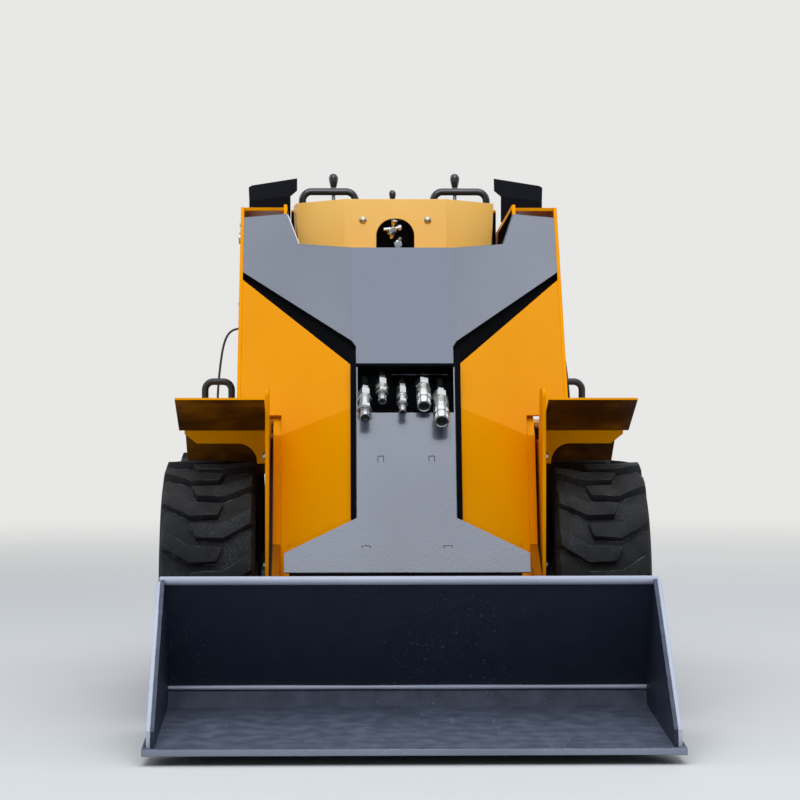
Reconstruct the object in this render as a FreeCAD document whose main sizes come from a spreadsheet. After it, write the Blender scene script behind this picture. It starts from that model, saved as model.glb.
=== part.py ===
import FreeCAD, Part
import math
import os
import Sketcher

# Wheeled stand-on skid steer loader.
# X runs across the machine with its middle plane at 0, Z is up from the ground,
# and the bucket faces -Y. Along the machine, places are stations: millimetres
# behind the cutting edge. The origin is on the ground at half the length.

os.makedirs("parts", exist_ok=True)
doc = FreeCAD.newDocument("loader")

# Driving dimensions, in millimetres unless the note says otherwise
SIZES = (
    ("half_length", 1225, "cutting edge to the origin"),
    ("sheet", 5, "thin sheet"),
    ("plate", 8, "structural plate"),
    ("seat_gap", 0.3, "gap between pieces that move or seat together"),
    ("axle_front", 920, "station of the front axle"),
    ("axle_rear", 1620, "station of the rear axle"),
    ("axle_height", 292, "height of the axles"),
    ("wheel_centre", 447, "middle plane of the machine to the middle of a tyre"),
    ("tyre_radius", 292, "radius over the lugs"),
    ("tyre_width", 218, "width over the sidewalls"),
    ("lug_height", 20, "depth of the tread"),
    ("tread_half", 100, "middle of a tyre to its shoulder"),
    ("rim_radius", 151.7, "radius of the bead seat"),
    ("rim_width", 178, "width of the rim"),
    ("rim_wall", 6, "thickness of the rim"),
    ("hub_radius", 56, "radius of a drive hub"),
    ("hub_reach", 400, "middle plane to the outer face of a drive hub"),
    ("side_inner", 308, "middle plane to the inner face of a chassis side"),
    ("side_front", 690, "station of the front of the chassis sides"),
    ("side_bottom", 210, "underside of the chassis sides"),
    ("side_top", 632, "top of the chassis sides behind the arm"),
    ("ear_top", 752, "top of the ears in front of the arm"),
    ("ear_back", 780, "station of the back of the ears at their top"),
    ("beam_front", 1930, "station of the front of the rear crossbeam"),
    ("beam_back", 2062, "station of the back of the rear crossbeam"),
    ("beam_drop", 72, "height of the rear crossbeam"),
    ("beam_reach", 374, "middle plane to the end of the rear crossbeam"),
    ("tub_sheet", 6, "thickness of the belly pan"),
    ("deck_front", 985, "station of the front of the deck and the top of the bulkhead"),
    ("pan_nose", 735, "station of the foot of the bulkhead"),
    ("pan_nose_height", 292, "height of the foot of the bulkhead"),
    ("pan_flat", 800, "station where the belly pan becomes flat"),
    ("engine_front", 1180, "station of the front of the engine block"),
    ("engine_back", 1660, "station of the back of the engine block"),
    ("engine_half", 200, "half width of the engine block"),
    ("engine_room", 30, "top of the engine block up to the deck"),
    ("fender_front", 620, "station of the lip of the fender"),
    ("fender_lip", 733, "height of the lip of the fender"),
    ("fender_knee", 815, "station where the fender becomes flat"),
    ("fender_flat", 661, "height of the fender over the tyres"),
    ("fender_dip", 545, "height of the fender between the tyres"),
    ("fender_back", 1915, "station of the back of the fender"),
    ("fender_slope", 190, "how far before and behind the dip the fender is flat again"),
    ("fender_reach", 515, "middle plane to the outer edge of the fender"),
    ("gusset_drop", 35, "height of the plate under the knee of the fender"),
    ("pivot_station", 2000, "station of the lift pivot"),
    ("pivot_height", 1080, "height of the lift pivot"),
    ("pivot_pin", 20, "radius of the lift pivot pin"),
    ("post_radius", 62, "radius of the top of a tower"),
    ("post_inner", 288, "middle plane to the inner face of a tower"),
    ("post_plate", 10, "thickness of a tower plate"),
    ("arm_inner", 274, "middle plane to the inner face of an arm beam"),
    ("arm_outer", 388, "middle plane to the outer face of an arm beam"),
    ("arm_top", 1193, "height of the front of the arm beams"),
    ("arm_end", 70, "radius of the back end of the arm beams"),
    ("arm_heel", 1250, "station where the underside of the beams starts to rise"),
    ("arm_waist", 1560, "station where that rise becomes flatter"),
    ("arm_waist_drop", 105, "lift pivot down to the underside of the beams there"),
    ("cover_end", 1840, "station of the back of the top plate of a beam"),
    ("shoulder_station", 970, "station of the sloping front at shoulder_height"),
    ("shoulder_height", 737, "height that goes with shoulder_station"),
    ("shoulder_lean", 0.734, "how far the sloping front runs back for each mm up, a ratio"),
    ("shoulder_sweep", 0.967, "how far it runs back for each mm outwards, a ratio"),
    ("column_half", 111, "half width of the black centre column"),
    ("band_half", 120, "half width of the centre band of the front plate"),
    ("column_station", 690, "station of the lower front plate at column_height"),
    ("column_height", 711, "height that goes with column_station"),
    ("column_lean", 0.369, "how far the lower front plate runs back for each mm up, a ratio"),
    ("leg_outer", 300, "middle plane to the outer face of an arm leg"),
    ("leg_plate", 18, "thickness of an arm leg"),
    ("knee_outer", 645, "height of the outer end of the bend in the facets"),
    ("knee_gap", 45, "that end up to the underside of the arm beams"),
    ("leg_heel", 450, "height of the bend in the back edge of an arm leg"),
    ("groove", 19, "width of the dark groove round the front plate"),
    ("flare_half", 272, "half width of the foot of the lower front plate"),
    ("flare_top", 391, "height of the outer corners of that foot"),
    ("flare_start", 467, "height where the foot starts to widen"),
    ("flare_bottom", 349, "underside of the lower front plate"),
    ("band_bottom", 804, "underside of the upper front plate"),
    ("wing_low", 861, "height where the wings leave the centre band"),
    ("wing_outer_low", 1030, "height of the lower outer corner of a wing"),
    ("wing_top", 1167, "height of the upper outer corner of a wing"),
    ("band_top", 1081, "top of the centre band"),
    ("front_plate", 6, "thickness of the front plates"),
    ("web_depth", 16, "depth of the web behind the front plates"),
    ("nest_half", 108, "half width of the coupler recess"),
    ("nest_low", 706, "bottom of the coupler recess"),
    ("nest_high", 792, "top of the coupler recess"),
    ("nest_depth", 42, "depth of the coupler recess"),
    ("tilt_station", 1120, "station of the upper pin of the tilt cylinder"),
    ("tilt_height", 900, "height of the upper pin of the tilt cylinder"),
    ("cross_radius", 32, "radius of the cross tube"),
    ("cross_station", 1135, "station of the cross tube"),
    ("cross_height", 985, "height of the cross tube"),
    ("bucket_station", 600, "station of the bucket pins"),
    ("bucket_height", 150, "height of the bucket pins"),
    ("bucket_pin", 20, "radius of the bucket pins"),
    ("lever", 140, "bucket pins up to the pin of the tilt rod"),
    ("tilt_eye", 24, "radius of the eyes of the tilt cylinder"),
    ("tilt_barrel", 30, "radius of the tilt barrel"),
    ("tilt_rod", 14, "radius of the tilt rod"),
    ("lift_centre", 331, "middle plane to the middle of a lift cylinder"),
    ("lift_station", 1990, "station of the lower pin of a lift cylinder"),
    ("lift_height", 780, "height of the lower pin of a lift cylinder"),
    ("boss_station", 1400, "station of the pin of the lift rod"),
    ("boss_height", 1120, "height of the pin of the lift rod"),
    ("lift_pin", 14, "radius of the pins of the lift cylinders"),
    ("lift_barrel", 27, "radius of a lift barrel"),
    ("lift_rod", 13, "radius of a lift rod"),
    ("lift_eye", 26, "radius of the eyes of a lift cylinder"),
    ("barrel_wall", 6, "wall of the barrels"),
    ("edge_half", 550, "half width of the cutting edge"),
    ("edge_bottom", 20, "underside of the cutting edge"),
    ("edge_bar", 14, "thickness of the cutting edge"),
    ("edge_depth", 140, "depth of the cutting edge"),
    ("bucket_half", 533, "half width of the bucket"),
    ("floor_back", 500, "station of the back of the bucket floor"),
    ("floor_rise", 60, "height of the bucket floor at its back"),
    ("heel_station", 540, "station of the heel of the bucket"),
    ("heel_height", 97, "height of the heel of the bucket"),
    ("lip_station", 400, "station of the lip of the bucket"),
    ("lip_height", 344, "height of the lip of the bucket"),
    ("lip_radius", 9, "radius of the lip of the bucket"),
    ("hitch_half", 240, "half width of the attachment plate"),
    ("hitch_plate", 10, "thickness of the attachment plate"),
    ("deck_sheet", 6, "thickness of the deck"),
    ("hood_half", 256, "half width of the hood"),
    ("hood_front", 1112, "station of the foot of the hood"),
    ("hood_top", 1000, "height of the front of the hood"),
    ("console_front", 1700, "station of the front of the console"),
    ("console_low", 1002, "foot of the console front"),
    ("console_top", 1236, "top of the console front"),
    ("housing_top", 1200, "top of the console housing"),
    ("console_flat", 132, "half width of the flat middle of the console front"),
    ("console_half", 257, "half width of the console front"),
    ("console_sweep", 48, "how far the sides of the console front run back"),
    ("arch_half", 49.5, "half width of the arch in the console front"),
    ("arch_top", 1185, "top of the arch in the console front"),
    ("panel_back", 2046, "station of the back of the rear panel"),
    ("panel_top", 1008, "top of the rear panel"),
    ("pad_low", 780, "underside of the operator pad"),
    ("pad_high", 960, "top of the operator pad"),
    ("pad_half", 200, "half width of the operator pad"),
    ("pad_depth", 46, "depth of the operator pad"),
    ("platform_back", 2450, "station of the back of the platform"),
    ("platform_top", 245, "height of the platform"),
    ("platform_half", 290, "half width of the platform"),
    ("tread_sheet", 6, "thickness of the platform plate"),
    ("grip_radius", 9.5, "radius of the hand grips"),
    ("grip_top", 1270, "height of the hand grips"),
    ("grip_centre", 172, "middle plane to the middle of a hand grip"),
    ("grip_width", 139, "width of a hand grip between tube centres"),
    ("grip_station", 1800, "station of the hand grips"),
    ("knob_top", 1310, "top of the lever knobs"),
    ("knob_place", 160, "middle plane to the outer levers"),
    ("cable_radius", 3, "radius of the side cables"),
    ("hoop_radius", 9, "radius of the rear hoops"),
    ("hoop_top", 770, "height of the rear hoops"),
    ("hoop_station", 1866, "station of the rear hoops"),
)

sheet = doc.addObject("Spreadsheet::Sheet", "Sizes")
for row, (name, number, note) in enumerate(SIZES, 1):
    sheet.set("A%d" % row, note)
    sheet.set("B%d" % row, str(number))
    sheet.setAlias("B%d" % row, name)
doc.recompute()


class Size:
    """A number kept with the expression that gives it from the sheet."""

    def __init__(self, number, text):
        self.number = number
        self.text = text

    def __add__(self, other):
        other = as_size(other)
        return Size(self.number + other.number, "(%s + %s)" % (self.text, other.text))

    def __sub__(self, other):
        other = as_size(other)
        return Size(self.number - other.number, "(%s - %s)" % (self.text, other.text))

    def __mul__(self, other):
        other = as_size(other)
        return Size(self.number * other.number, "(%s * %s)" % (self.text, other.text))

    def __truediv__(self, other):
        other = as_size(other)
        return Size(self.number / other.number, "(%s / %s)" % (self.text, other.text))

    def __neg__(self):
        return self * -1

    def __radd__(self, other):
        return as_size(other) + self

    def __rsub__(self, other):
        return as_size(other) - self

    def __rtruediv__(self, other):
        return as_size(other) / self

    def __rmul__(self, other):
        return as_size(other) * self

    def root(self):
        return Size(math.sqrt(self.number), "sqrt(%s)" % self.text)


def as_size(value):
    return value if isinstance(value, Size) else Size(float(value), "(%r)" % float(value))


def bearing(across, up):
    """The angle of a line from its two runs, in degrees."""
    across, up = as_size(across), as_size(up)
    angle = math.degrees(math.atan2(up.number, across.number))
    return Size(angle, "atan2(%s; %s)" % (up.text, across.text))


def length_of(across, up):
    return (across * across + up * up).root()


class Named:
    """The sizes of the sheet, each under its own name."""


dim = Named()
for name, number, note in SIZES:
    setattr(dim, name, Size(float(number), "Sizes.%s" % name))
dim.arm_bottom = dim.knee_outer + dim.knee_gap


def along(station):
    """The Y of a station."""
    return as_size(station) - dim.half_length


def spots(rows):
    """Corners given as station and height, as Y and Z."""
    return [(along(row[0]),) + tuple(row[1:]) for row in rows]


def place(thing, x=None, y=None, z=None):
    """Binds the place of an object to the sheet."""
    base = thing.Placement.Base
    target = {"x": x, "y": y, "z": z}
    for axis, value in target.items():
        if value is None:
            continue
        value = as_size(value)
        setattr(base, axis, value.number)
    thing.Placement = FreeCAD.Placement(base, thing.Placement.Rotation)
    for axis, value in target.items():
        if value is not None:
            thing.setExpression("Placement.Base." + axis, as_size(value).text)
    return thing


def new_body(label):
    body = doc.addObject("PartDesign::Body", label)
    body.Label = label
    return body


def origin_plane(body, role):
    for feature in body.Origin.OriginFeatures:
        if feature.Role == role:
            return feature
    raise RuntimeError("no plane " + role)


def hold(sketch, kind, elements, value):
    """Adds a constraint whose value is bound to the sheet."""
    value = as_size(value)
    index = sketch.addConstraint(Sketcher.Constraint(kind, *elements, value.number))
    label = "%s_%d" % (kind, index)
    sketch.renameConstraint(index, label)
    sketch.setExpression("Constraints." + label, value.text)


def draw(sketch, corners):
    """Draws a closed outline. A corner is (across, up) or (across, up, radius)."""
    corners = [tuple(as_size(value) for value in corner) for corner in corners]
    points = [FreeCAD.Vector(corner[0].number, corner[1].number, 0) for corner in corners]
    count = len(points)
    entries, exits, arcs = [], [], []
    for index, corner in enumerate(corners):
        here = points[index]
        if len(corner) < 3:
            entries.append(here)
            exits.append(here)
            arcs.append(None)
            continue
        back = (points[index - 1] - here).normalize()
        ahead = (points[(index + 1) % count] - here).normalize()
        half = back.getAngle(ahead) / 2
        radius = corner[2].number
        reach = radius / math.tan(half)
        middle = here + (back + ahead).normalize() * (radius / math.sin(half))
        start, end = here + back * reach, here + ahead * reach
        entries.append(start)
        exits.append(end)
        leftwards = (back.y * ahead.x - back.x * ahead.y) > 0
        arcs.append((middle, start, end, leftwards))
    sides = []
    for index in range(count):
        side = Part.LineSegment(exits[index], entries[(index + 1) % count])
        sides.append(sketch.addGeometry(side, False))
    for index, corner in enumerate(corners):
        before, after = sides[index - 1], sides[index]
        if arcs[index] is None:
            sketch.addConstraint(Sketcher.Constraint("Coincident", before, 2, after, 1))
            hold(sketch, "DistanceX", (-1, 1, after, 1), corner[0])
            hold(sketch, "DistanceY", (-1, 1, after, 1), corner[1])
            continue
        middle, start, end, leftwards = arcs[index]
        first, last = (start, end) if leftwards else (end, start)
        angles = [math.atan2(p.y - middle.y, p.x - middle.x) for p in (first, last)]
        circle = Part.Circle(middle, FreeCAD.Vector(0, 0, 1), corner[2].number)
        arc = sketch.addGeometry(Part.ArcOfCircle(circle, angles[0], angles[1]), False)
        mark = sketch.addGeometry(Part.Point(points[index]), True)
        ends = (1, 2) if leftwards else (2, 1)
        sketch.addConstraint(Sketcher.Constraint("Tangent", before, 2, arc, ends[0]))
        sketch.addConstraint(Sketcher.Constraint("Tangent", after, 1, arc, ends[1]))
        sketch.addConstraint(Sketcher.Constraint("PointOnObject", mark, 1, before))
        sketch.addConstraint(Sketcher.Constraint("PointOnObject", mark, 1, after))
        hold(sketch, "DistanceX", (-1, 1, mark, 1), corner[0])
        hold(sketch, "DistanceY", (-1, 1, mark, 1), corner[1])
        hold(sketch, "Radius", (arc,), corner[2])


def sketch_on(body, role, name):
    sketch = body.newObject("Sketcher::SketchObject", name)
    sketch.AttachmentSupport = [(origin_plane(body, role), "")]
    sketch.MapMode = "FlatFace"
    return sketch


def plate(label, role, corners, thick, shift=0, both_ways=False):
    """A flat plate padded from an outline, moved along the normal of its plane."""
    body = new_body(label)
    sketch = sketch_on(body, role, label + "_outline")
    draw(sketch, corners)
    pad = body.newObject("PartDesign::Pad", label + "_pad")
    pad.Profile = sketch
    pad.Midplane = both_ways
    pad.Length = as_size(thick).number
    pad.setExpression("Length", as_size(thick).text)
    axis = {"YZ_Plane": "x", "XZ_Plane": "y", "XY_Plane": "z"}[role]
    place(body, **{axis: shift})
    return body


def turned(label, corners):
    """A solid of revolution: corners are (along the local Y axis, radius)."""
    body = new_body(label)
    sketch = sketch_on(body, "YZ_Plane", label + "_outline")
    draw(sketch, corners)
    turn = body.newObject("PartDesign::Revolution", label + "_turn")
    turn.Profile = sketch
    turn.ReferenceAxis = (sketch, ["H_Axis"])
    turn.Angle = 360
    return body


def wheel_turned(label, corners):
    """A solid of revolution about X: corners are (along X, radius)."""
    body = new_body(label)
    sketch = sketch_on(body, "XZ_Plane", label + "_outline")
    draw(sketch, corners)
    turn = body.newObject("PartDesign::Revolution", label + "_turn")
    turn.Profile = sketch
    turn.ReferenceAxis = (sketch, ["H_Axis"])
    turn.Angle = 360
    return body


def rod_x(label, radius, start, end, y, z):
    """A round bar along X from start to end."""
    bar = doc.addObject("Part::Cylinder", label)
    bar.Label = label
    radius, start, end = as_size(radius), as_size(start), as_size(end)
    span = end - start
    bar.Radius = radius.number
    bar.Height = span.number
    bar.setExpression("Radius", radius.text)
    bar.setExpression("Height", span.text)
    bar.Placement = FreeCAD.Placement(FreeCAD.Vector(), FreeCAD.Rotation(FreeCAD.Vector(0, 1, 0), 90))
    place(bar, start, y, z)
    return bar


def joined(label, things):
    union = doc.addObject("Part::MultiFuse", label)
    union.Label = label
    union.Shapes = things
    return union


def less(label, base, tools):
    tool = tools[0] if len(tools) == 1 else joined(label + "_tools", tools)
    cut = doc.addObject("Part::Cut", label)
    cut.Label = label
    cut.Base = base
    cut.Tool = tool
    return cut


def together(label, things):
    """Like pieces that don't touch, kept under one name."""
    group = doc.addObject("Part::Compound", label)
    group.Label = label
    group.Links = things
    return group


def shaped(label, shape):
    feature = doc.addObject("Part::Feature", label)
    feature.Label = label
    feature.Shape = shape
    return feature


def strip(label, rows, thick, left, right, side=1):
    """A bent sheet along X. rows are (station, height); the sheet lies on the side given."""
    points = [(along(row[0]), as_size(row[1])) for row in rows]
    marks = [FreeCAD.Vector(0, y.number, z.number) for y, z in points]
    body = new_body(label)
    sketch = sketch_on(body, "YZ_Plane", label + "_outline")
    flat = [FreeCAD.Vector(mark.y, mark.z, 0) for mark in marks]
    amount = as_size(thick)
    normals = []
    for start, end in zip(flat, flat[1:]):
        run = (end - start).normalize()
        normals.append(FreeCAD.Vector(-run.y, run.x, 0) * side)
    inner = []
    for index, mark in enumerate(flat):
        near = normals[max(index - 1, 0)]
        far = normals[min(index, len(normals) - 1)]
        middle = (near + far) * (1 / (1 + near.dot(far)))
        inner.append(mark + middle * amount.number)
    outer_lines = [sketch.addGeometry(Part.LineSegment(a, b), False) for a, b in zip(flat, flat[1:])]
    inner_lines = [sketch.addGeometry(Part.LineSegment(a, b), False) for a, b in zip(inner, inner[1:])]
    first = sketch.addGeometry(Part.LineSegment(inner[0], flat[0]), False)
    last = sketch.addGeometry(Part.LineSegment(flat[-1], inner[-1]), False)
    link = sketch.addConstraint
    for lines in (outer_lines, inner_lines):
        for one, two in zip(lines, lines[1:]):
            link(Sketcher.Constraint("Coincident", one, 2, two, 1))
    link(Sketcher.Constraint("Coincident", first, 2, outer_lines[0], 1))
    link(Sketcher.Constraint("Coincident", first, 1, inner_lines[0], 1))
    link(Sketcher.Constraint("Coincident", last, 1, outer_lines[-1], 2))
    link(Sketcher.Constraint("Coincident", last, 2, inner_lines[-1], 2))
    link(Sketcher.Constraint("Perpendicular", first, outer_lines[0]))
    link(Sketcher.Constraint("Perpendicular", last, outer_lines[-1]))
    for index, (y, z) in enumerate(points):
        line, end = (outer_lines[index], 1) if index < len(outer_lines) else (outer_lines[-1], 2)
        hold(sketch, "DistanceX", (-1, 1, line, end), y)
        hold(sketch, "DistanceY", (-1, 1, line, end), z)
    for outer, within in zip(outer_lines, inner_lines):
        link(Sketcher.Constraint("Parallel", outer, within))
        hold(sketch, "Distance", (within, 1, outer), amount)
    pad = body.newObject("PartDesign::Pad", label + "_pad")
    pad.Profile = sketch
    width = as_size(right) - as_size(left)
    pad.Length = width.number
    pad.setExpression("Length", width.text)
    place(body, x=left)
    return body


SIDES = (("left", -1), ("right", 1))


def both_sides(name, make):
    """Makes a piece for each side; make takes the label of the piece and the sign of its side."""
    return [make("%s_%s" % (name, side), sign) for side, sign in SIDES]


def from_middle(inner, outer, sign):
    """The low end of a piece that lies between two distances from the middle plane."""
    return as_size(inner) if sign > 0 else -as_size(outer)


def plate_pair(name, rows, inner, thick):
    """The same upright plate on both sides; inner is its distance from the middle plane."""
    def one(label, sign):
        return plate(label, "YZ_Plane", spots(rows), thick, from_middle(inner, as_size(inner) + thick, sign))
    return both_sides(name, one)


def facet(corners, thick):
    """A flat plate through corners in space, thickened towards the back."""
    points = [FreeCAD.Vector(x, y, z) for x, y, z in corners]
    face = Part.Face(Part.makePolygon(points + [points[0]]))
    normal = face.normalAt(0, 0)
    if normal.y < 0:
        normal = normal * -1
    return face.extrude(normal * thick)


nodes = []


def keep(thing):
    nodes.append(thing)
    return thing


# Chassis sides: plates that carry the hubs and the fenders, with an ear in front of the arm
side_outer = dim.side_inner + dim.plate


def chassis_side(label, sign):
    low = from_middle(dim.side_inner, side_outer, sign)
    outline = spots((
        (dim.side_front, dim.side_bottom + 90),
        (dim.side_front, dim.ear_top, 18),
        (dim.ear_back, dim.ear_top),
        (dim.ear_back + 32, dim.side_top),
        (dim.beam_front, dim.side_top),
        (dim.beam_front, dim.side_top - dim.beam_drop),
        (dim.beam_back, dim.side_top - dim.beam_drop),
        (dim.beam_back, dim.side_bottom + 60, 30),
        (dim.beam_back - 60, dim.side_bottom),
        (dim.side_front + 60, dim.side_bottom),
    ))
    return keep(plate(label, "YZ_Plane", outline, dim.plate, low))


both_sides("chassis_side", chassis_side)

# Belly pan: one bent sheet from the front bulkhead to the rear wall
tub_top_back = dim.side_top - dim.beam_drop
keep(strip("belly_pan", (
    (dim.deck_front, dim.side_top - dim.deck_sheet),
    (dim.pan_nose, dim.pan_nose_height),
    (dim.pan_flat, dim.side_bottom),
    (dim.beam_back - 70, dim.side_bottom),
    (dim.beam_back - 10, dim.side_bottom + 60),
    (dim.beam_back - 10, tub_top_back),
), dim.tub_sheet, -dim.side_inner, dim.side_inner))

# Deck over the belly pan, under the hood
keep(plate("deck", "YZ_Plane", spots((
    (dim.deck_front, dim.side_top - dim.deck_sheet),
    (dim.deck_front, dim.side_top),
    (dim.beam_front, dim.side_top),
    (dim.beam_front, dim.side_top - dim.deck_sheet),
)), dim.side_inner * 2, -dim.side_inner))

# Rear crossbeam: a box section that carries the towers
keep(plate("rear_crossbeam", "YZ_Plane", spots((
    (dim.beam_front, tub_top_back),
    (dim.beam_front, dim.side_top),
    (dim.beam_back, dim.side_top),
    (dim.beam_back, tub_top_back),
)), dim.beam_reach * 2, -dim.beam_reach))

# Drive hubs: a flange on the chassis side and a neck out to the wheel
hub_length = dim.hub_reach - side_outer
hub_solids = []
for place_name, station in (("front", dim.axle_front), ("rear", dim.axle_rear)):
    for side, sign in SIDES:
        hub = wheel_turned("hub_%s_%s" % (place_name, side), (
            (0, 0),
            (0, dim.hub_radius + 22),
            (sign * as_size(12), dim.hub_radius + 22),
            (sign * as_size(20), dim.hub_radius),
            (sign * hub_length, dim.hub_radius),
            (sign * hub_length, 0),
        ))
        place(hub, sign * side_outer, along(station), dim.axle_height)
        hub_solids.append(hub)
keep(together("drive_hubs", hub_solids))

# Fenders: a bent sheet over both wheels on each side, with a plate under the knee
dip_station = (dim.axle_front + dim.axle_rear) / 2
fender_rows = (
    (dim.fender_front, dim.fender_lip),
    (dim.fender_knee, dim.fender_flat),
    (dip_station - dim.fender_slope + 10, dim.fender_flat),
    (dip_station, dim.fender_dip),
    (dip_station + dim.fender_slope - 10, dim.fender_flat),
    (dim.fender_back - 17, dim.fender_flat),
    (dim.fender_back, dim.fender_flat - 14),
)


def fender(label, sign):
    low = from_middle(side_outer, dim.fender_reach, sign)
    high = from_middle(dim.fender_reach, side_outer, sign)
    if sign < 0:
        high = -side_outer
    sheet_part = strip(label + "_sheet", fender_rows, dim.sheet, low, high, -1)
    under = dim.fender_flat - dim.sheet
    inner = sign * side_outer
    edge = dim.fender_flat - dim.gusset_drop
    gusset = plate(label + "_gusset", "XZ_Plane", (
        (inner, under + 2),
        (sign * (dim.fender_reach - 12), under + 2),
        (sign * (dim.fender_reach - 12), under - 8),
        (sign * (dim.fender_reach - 40), edge),
        (sign * (side_outer + 21), edge, 44),
        (sign * (side_outer + 21), edge - 46),
        (inner, edge - 46),
    ), dim.sheet, along(dim.fender_knee + 12))
    return keep(joined(label, [sheet_part, gusset]))


both_sides("fender", fender)

# Hood over the engine, a folded shell open below
hood_back = dim.console_front - dim.seat_gap
hood_outline = (
    (dim.hood_front, dim.side_top),
    (dim.hood_front + 82, dim.hood_top, 20),
    (hood_back, dim.hood_top + 28),
    (hood_back, dim.side_top),
)
hood_inside = (
    (dim.hood_front + dim.sheet * 1.05, dim.side_top - 1),
    (dim.hood_front + 82 + dim.sheet * 0.8, dim.hood_top - dim.sheet, 18),
    (hood_back - dim.sheet, dim.hood_top + 28 - dim.sheet),
    (hood_back - dim.sheet, dim.side_top - 1),
)
hood_outer = plate("hood_outer", "YZ_Plane", spots(hood_outline), dim.hood_half * 2, -dim.hood_half)
hood_inner = plate("hood_inner", "YZ_Plane", spots(hood_inside), (dim.hood_half - dim.sheet) * 2,
                   dim.sheet - dim.hood_half)
slot_count, slot_pitch, slot_width, slot_lean = 7, 38, 14, 24
slot_low = dim.side_top + 60
slot_high = slot_low + 130
slot_first = dim.engine_front + 110
hood_slots = []
for number in range(slot_count):
    start = slot_first + number * slot_pitch
    hood_slots.append(plate("hood_slot_%d" % number, "YZ_Plane", spots((
        (start, slot_low),
        (start + slot_lean, slot_high),
        (start + slot_lean + slot_width, slot_high),
        (start + slot_width, slot_low),
    )), (dim.hood_half + 5) * 2, -(dim.hood_half + 5)))
keep(less("hood", hood_outer, [hood_inner] + hood_slots))

# Engine and pump as one block on the belly pan
keep(plate("engine_block", "YZ_Plane", spots((
    (dim.engine_front, dim.side_bottom + dim.tub_sheet),
    (dim.engine_front, dim.side_top - dim.engine_room),
    (dim.engine_back, dim.side_top - dim.engine_room),
    (dim.engine_back, dim.side_bottom + dim.tub_sheet),
)), dim.engine_half * 2, -dim.engine_half))

# Towers: two plates and a back web on each end of the crossbeam
tower_gap = dim.post_inner - dim.arm_inner - dim.plate
post_far = dim.arm_outer - dim.plate - tower_gap


def tower(label, sign):
    post = (
        (dim.pivot_station - dim.post_radius, dim.side_top),
        (dim.pivot_station - dim.post_radius, dim.pivot_height + dim.post_radius, dim.post_radius - 2),
        (dim.pivot_station + dim.post_radius, dim.pivot_height + dim.post_radius, dim.post_radius - 2),
        (dim.pivot_station + dim.post_radius, dim.side_top),
    )
    web = (
        (dim.pivot_station + dim.post_radius - dim.plate, dim.side_top),
        (dim.pivot_station + dim.post_radius - dim.plate, dim.pivot_height - 90),
        (dim.pivot_station + dim.post_radius, dim.pivot_height - 90),
        (dim.pivot_station + dim.post_radius, dim.side_top),
    )
    inner = plate(label + "_inner", "YZ_Plane", spots(post), dim.post_plate,
                  from_middle(dim.post_inner, dim.post_inner + dim.post_plate, sign))
    outer = plate(label + "_outer", "YZ_Plane", spots(post), dim.post_plate,
                  from_middle(post_far - dim.post_plate, post_far, sign))
    back = plate(label + "_web", "YZ_Plane", spots(web), post_far - dim.post_inner,
                 from_middle(dim.post_inner, post_far, sign))
    inside, outside = dim.post_inner - 5, post_far + 5
    ends = (inside, outside) if sign > 0 else (-outside, -inside)
    bores = [
        rod_x(label + "_pivot_bore", dim.pivot_pin + dim.seat_gap, ends[0], ends[1],
              along(dim.pivot_station), dim.pivot_height),
        rod_x(label + "_foot_bore", dim.lift_pin + dim.seat_gap, ends[0], ends[1],
              along(dim.lift_station), dim.lift_height),
    ]
    return keep(less(label, joined(label + "_posts", [inner, outer, back]), bores))


both_sides("tower", tower)

# Pins fixed in the towers: the lift pivots and the feet of the lift cylinders
pins = []
for side, sign in SIDES:
    for use, radius, station, height, inner, outer in (
        ("pivot", dim.pivot_pin, dim.pivot_station, dim.pivot_height, dim.arm_inner - 6, dim.arm_outer + 8),
        ("foot", dim.lift_pin, dim.lift_station, dim.lift_height, dim.post_inner - 5, post_far + 5),
    ):
        low, high = (inner, outer) if sign > 0 else (-outer, -inner)
        pins.append(rod_x("%s_pin_%s" % (use, side), radius, low, high, along(station), height))
keep(together("tower_pins", pins))

# Rear panel between the towers, and the pad the operator leans on
panel_sheet = plate("panel_sheet", "YZ_Plane", spots((
    (dim.panel_back - dim.deck_sheet, dim.side_top),
    (dim.panel_back - dim.deck_sheet, dim.panel_top),
    (dim.panel_back, dim.panel_top),
    (dim.panel_back, dim.side_top),
)), dim.hood_half * 2, -dim.hood_half)
vent_count, vent_pitch, vent_height, vent_half = 5, 20, 9, 150
vents = []
for number in range(vent_count):
    low = dim.side_top + 26 + number * vent_pitch
    vents.append(plate("panel_vent_%d" % number, "YZ_Plane", spots((
        (dim.panel_back - dim.deck_sheet - 2, low),
        (dim.panel_back - dim.deck_sheet - 2, low + vent_height),
        (dim.panel_back + 2, low + vent_height),
        (dim.panel_back + 2, low),
    )), vent_half * 2, -vent_half))
keep(less("rear_panel", panel_sheet, vents))
keep(plate("operator_pad", "YZ_Plane", spots((
    (dim.panel_back, dim.pad_low),
    (dim.panel_back, dim.pad_high),
    (dim.panel_back + dim.pad_depth, dim.pad_high, 18),
    (dim.panel_back + dim.pad_depth, dim.pad_low, 18),
)), dim.pad_half * 2, -dim.pad_half))

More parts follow.
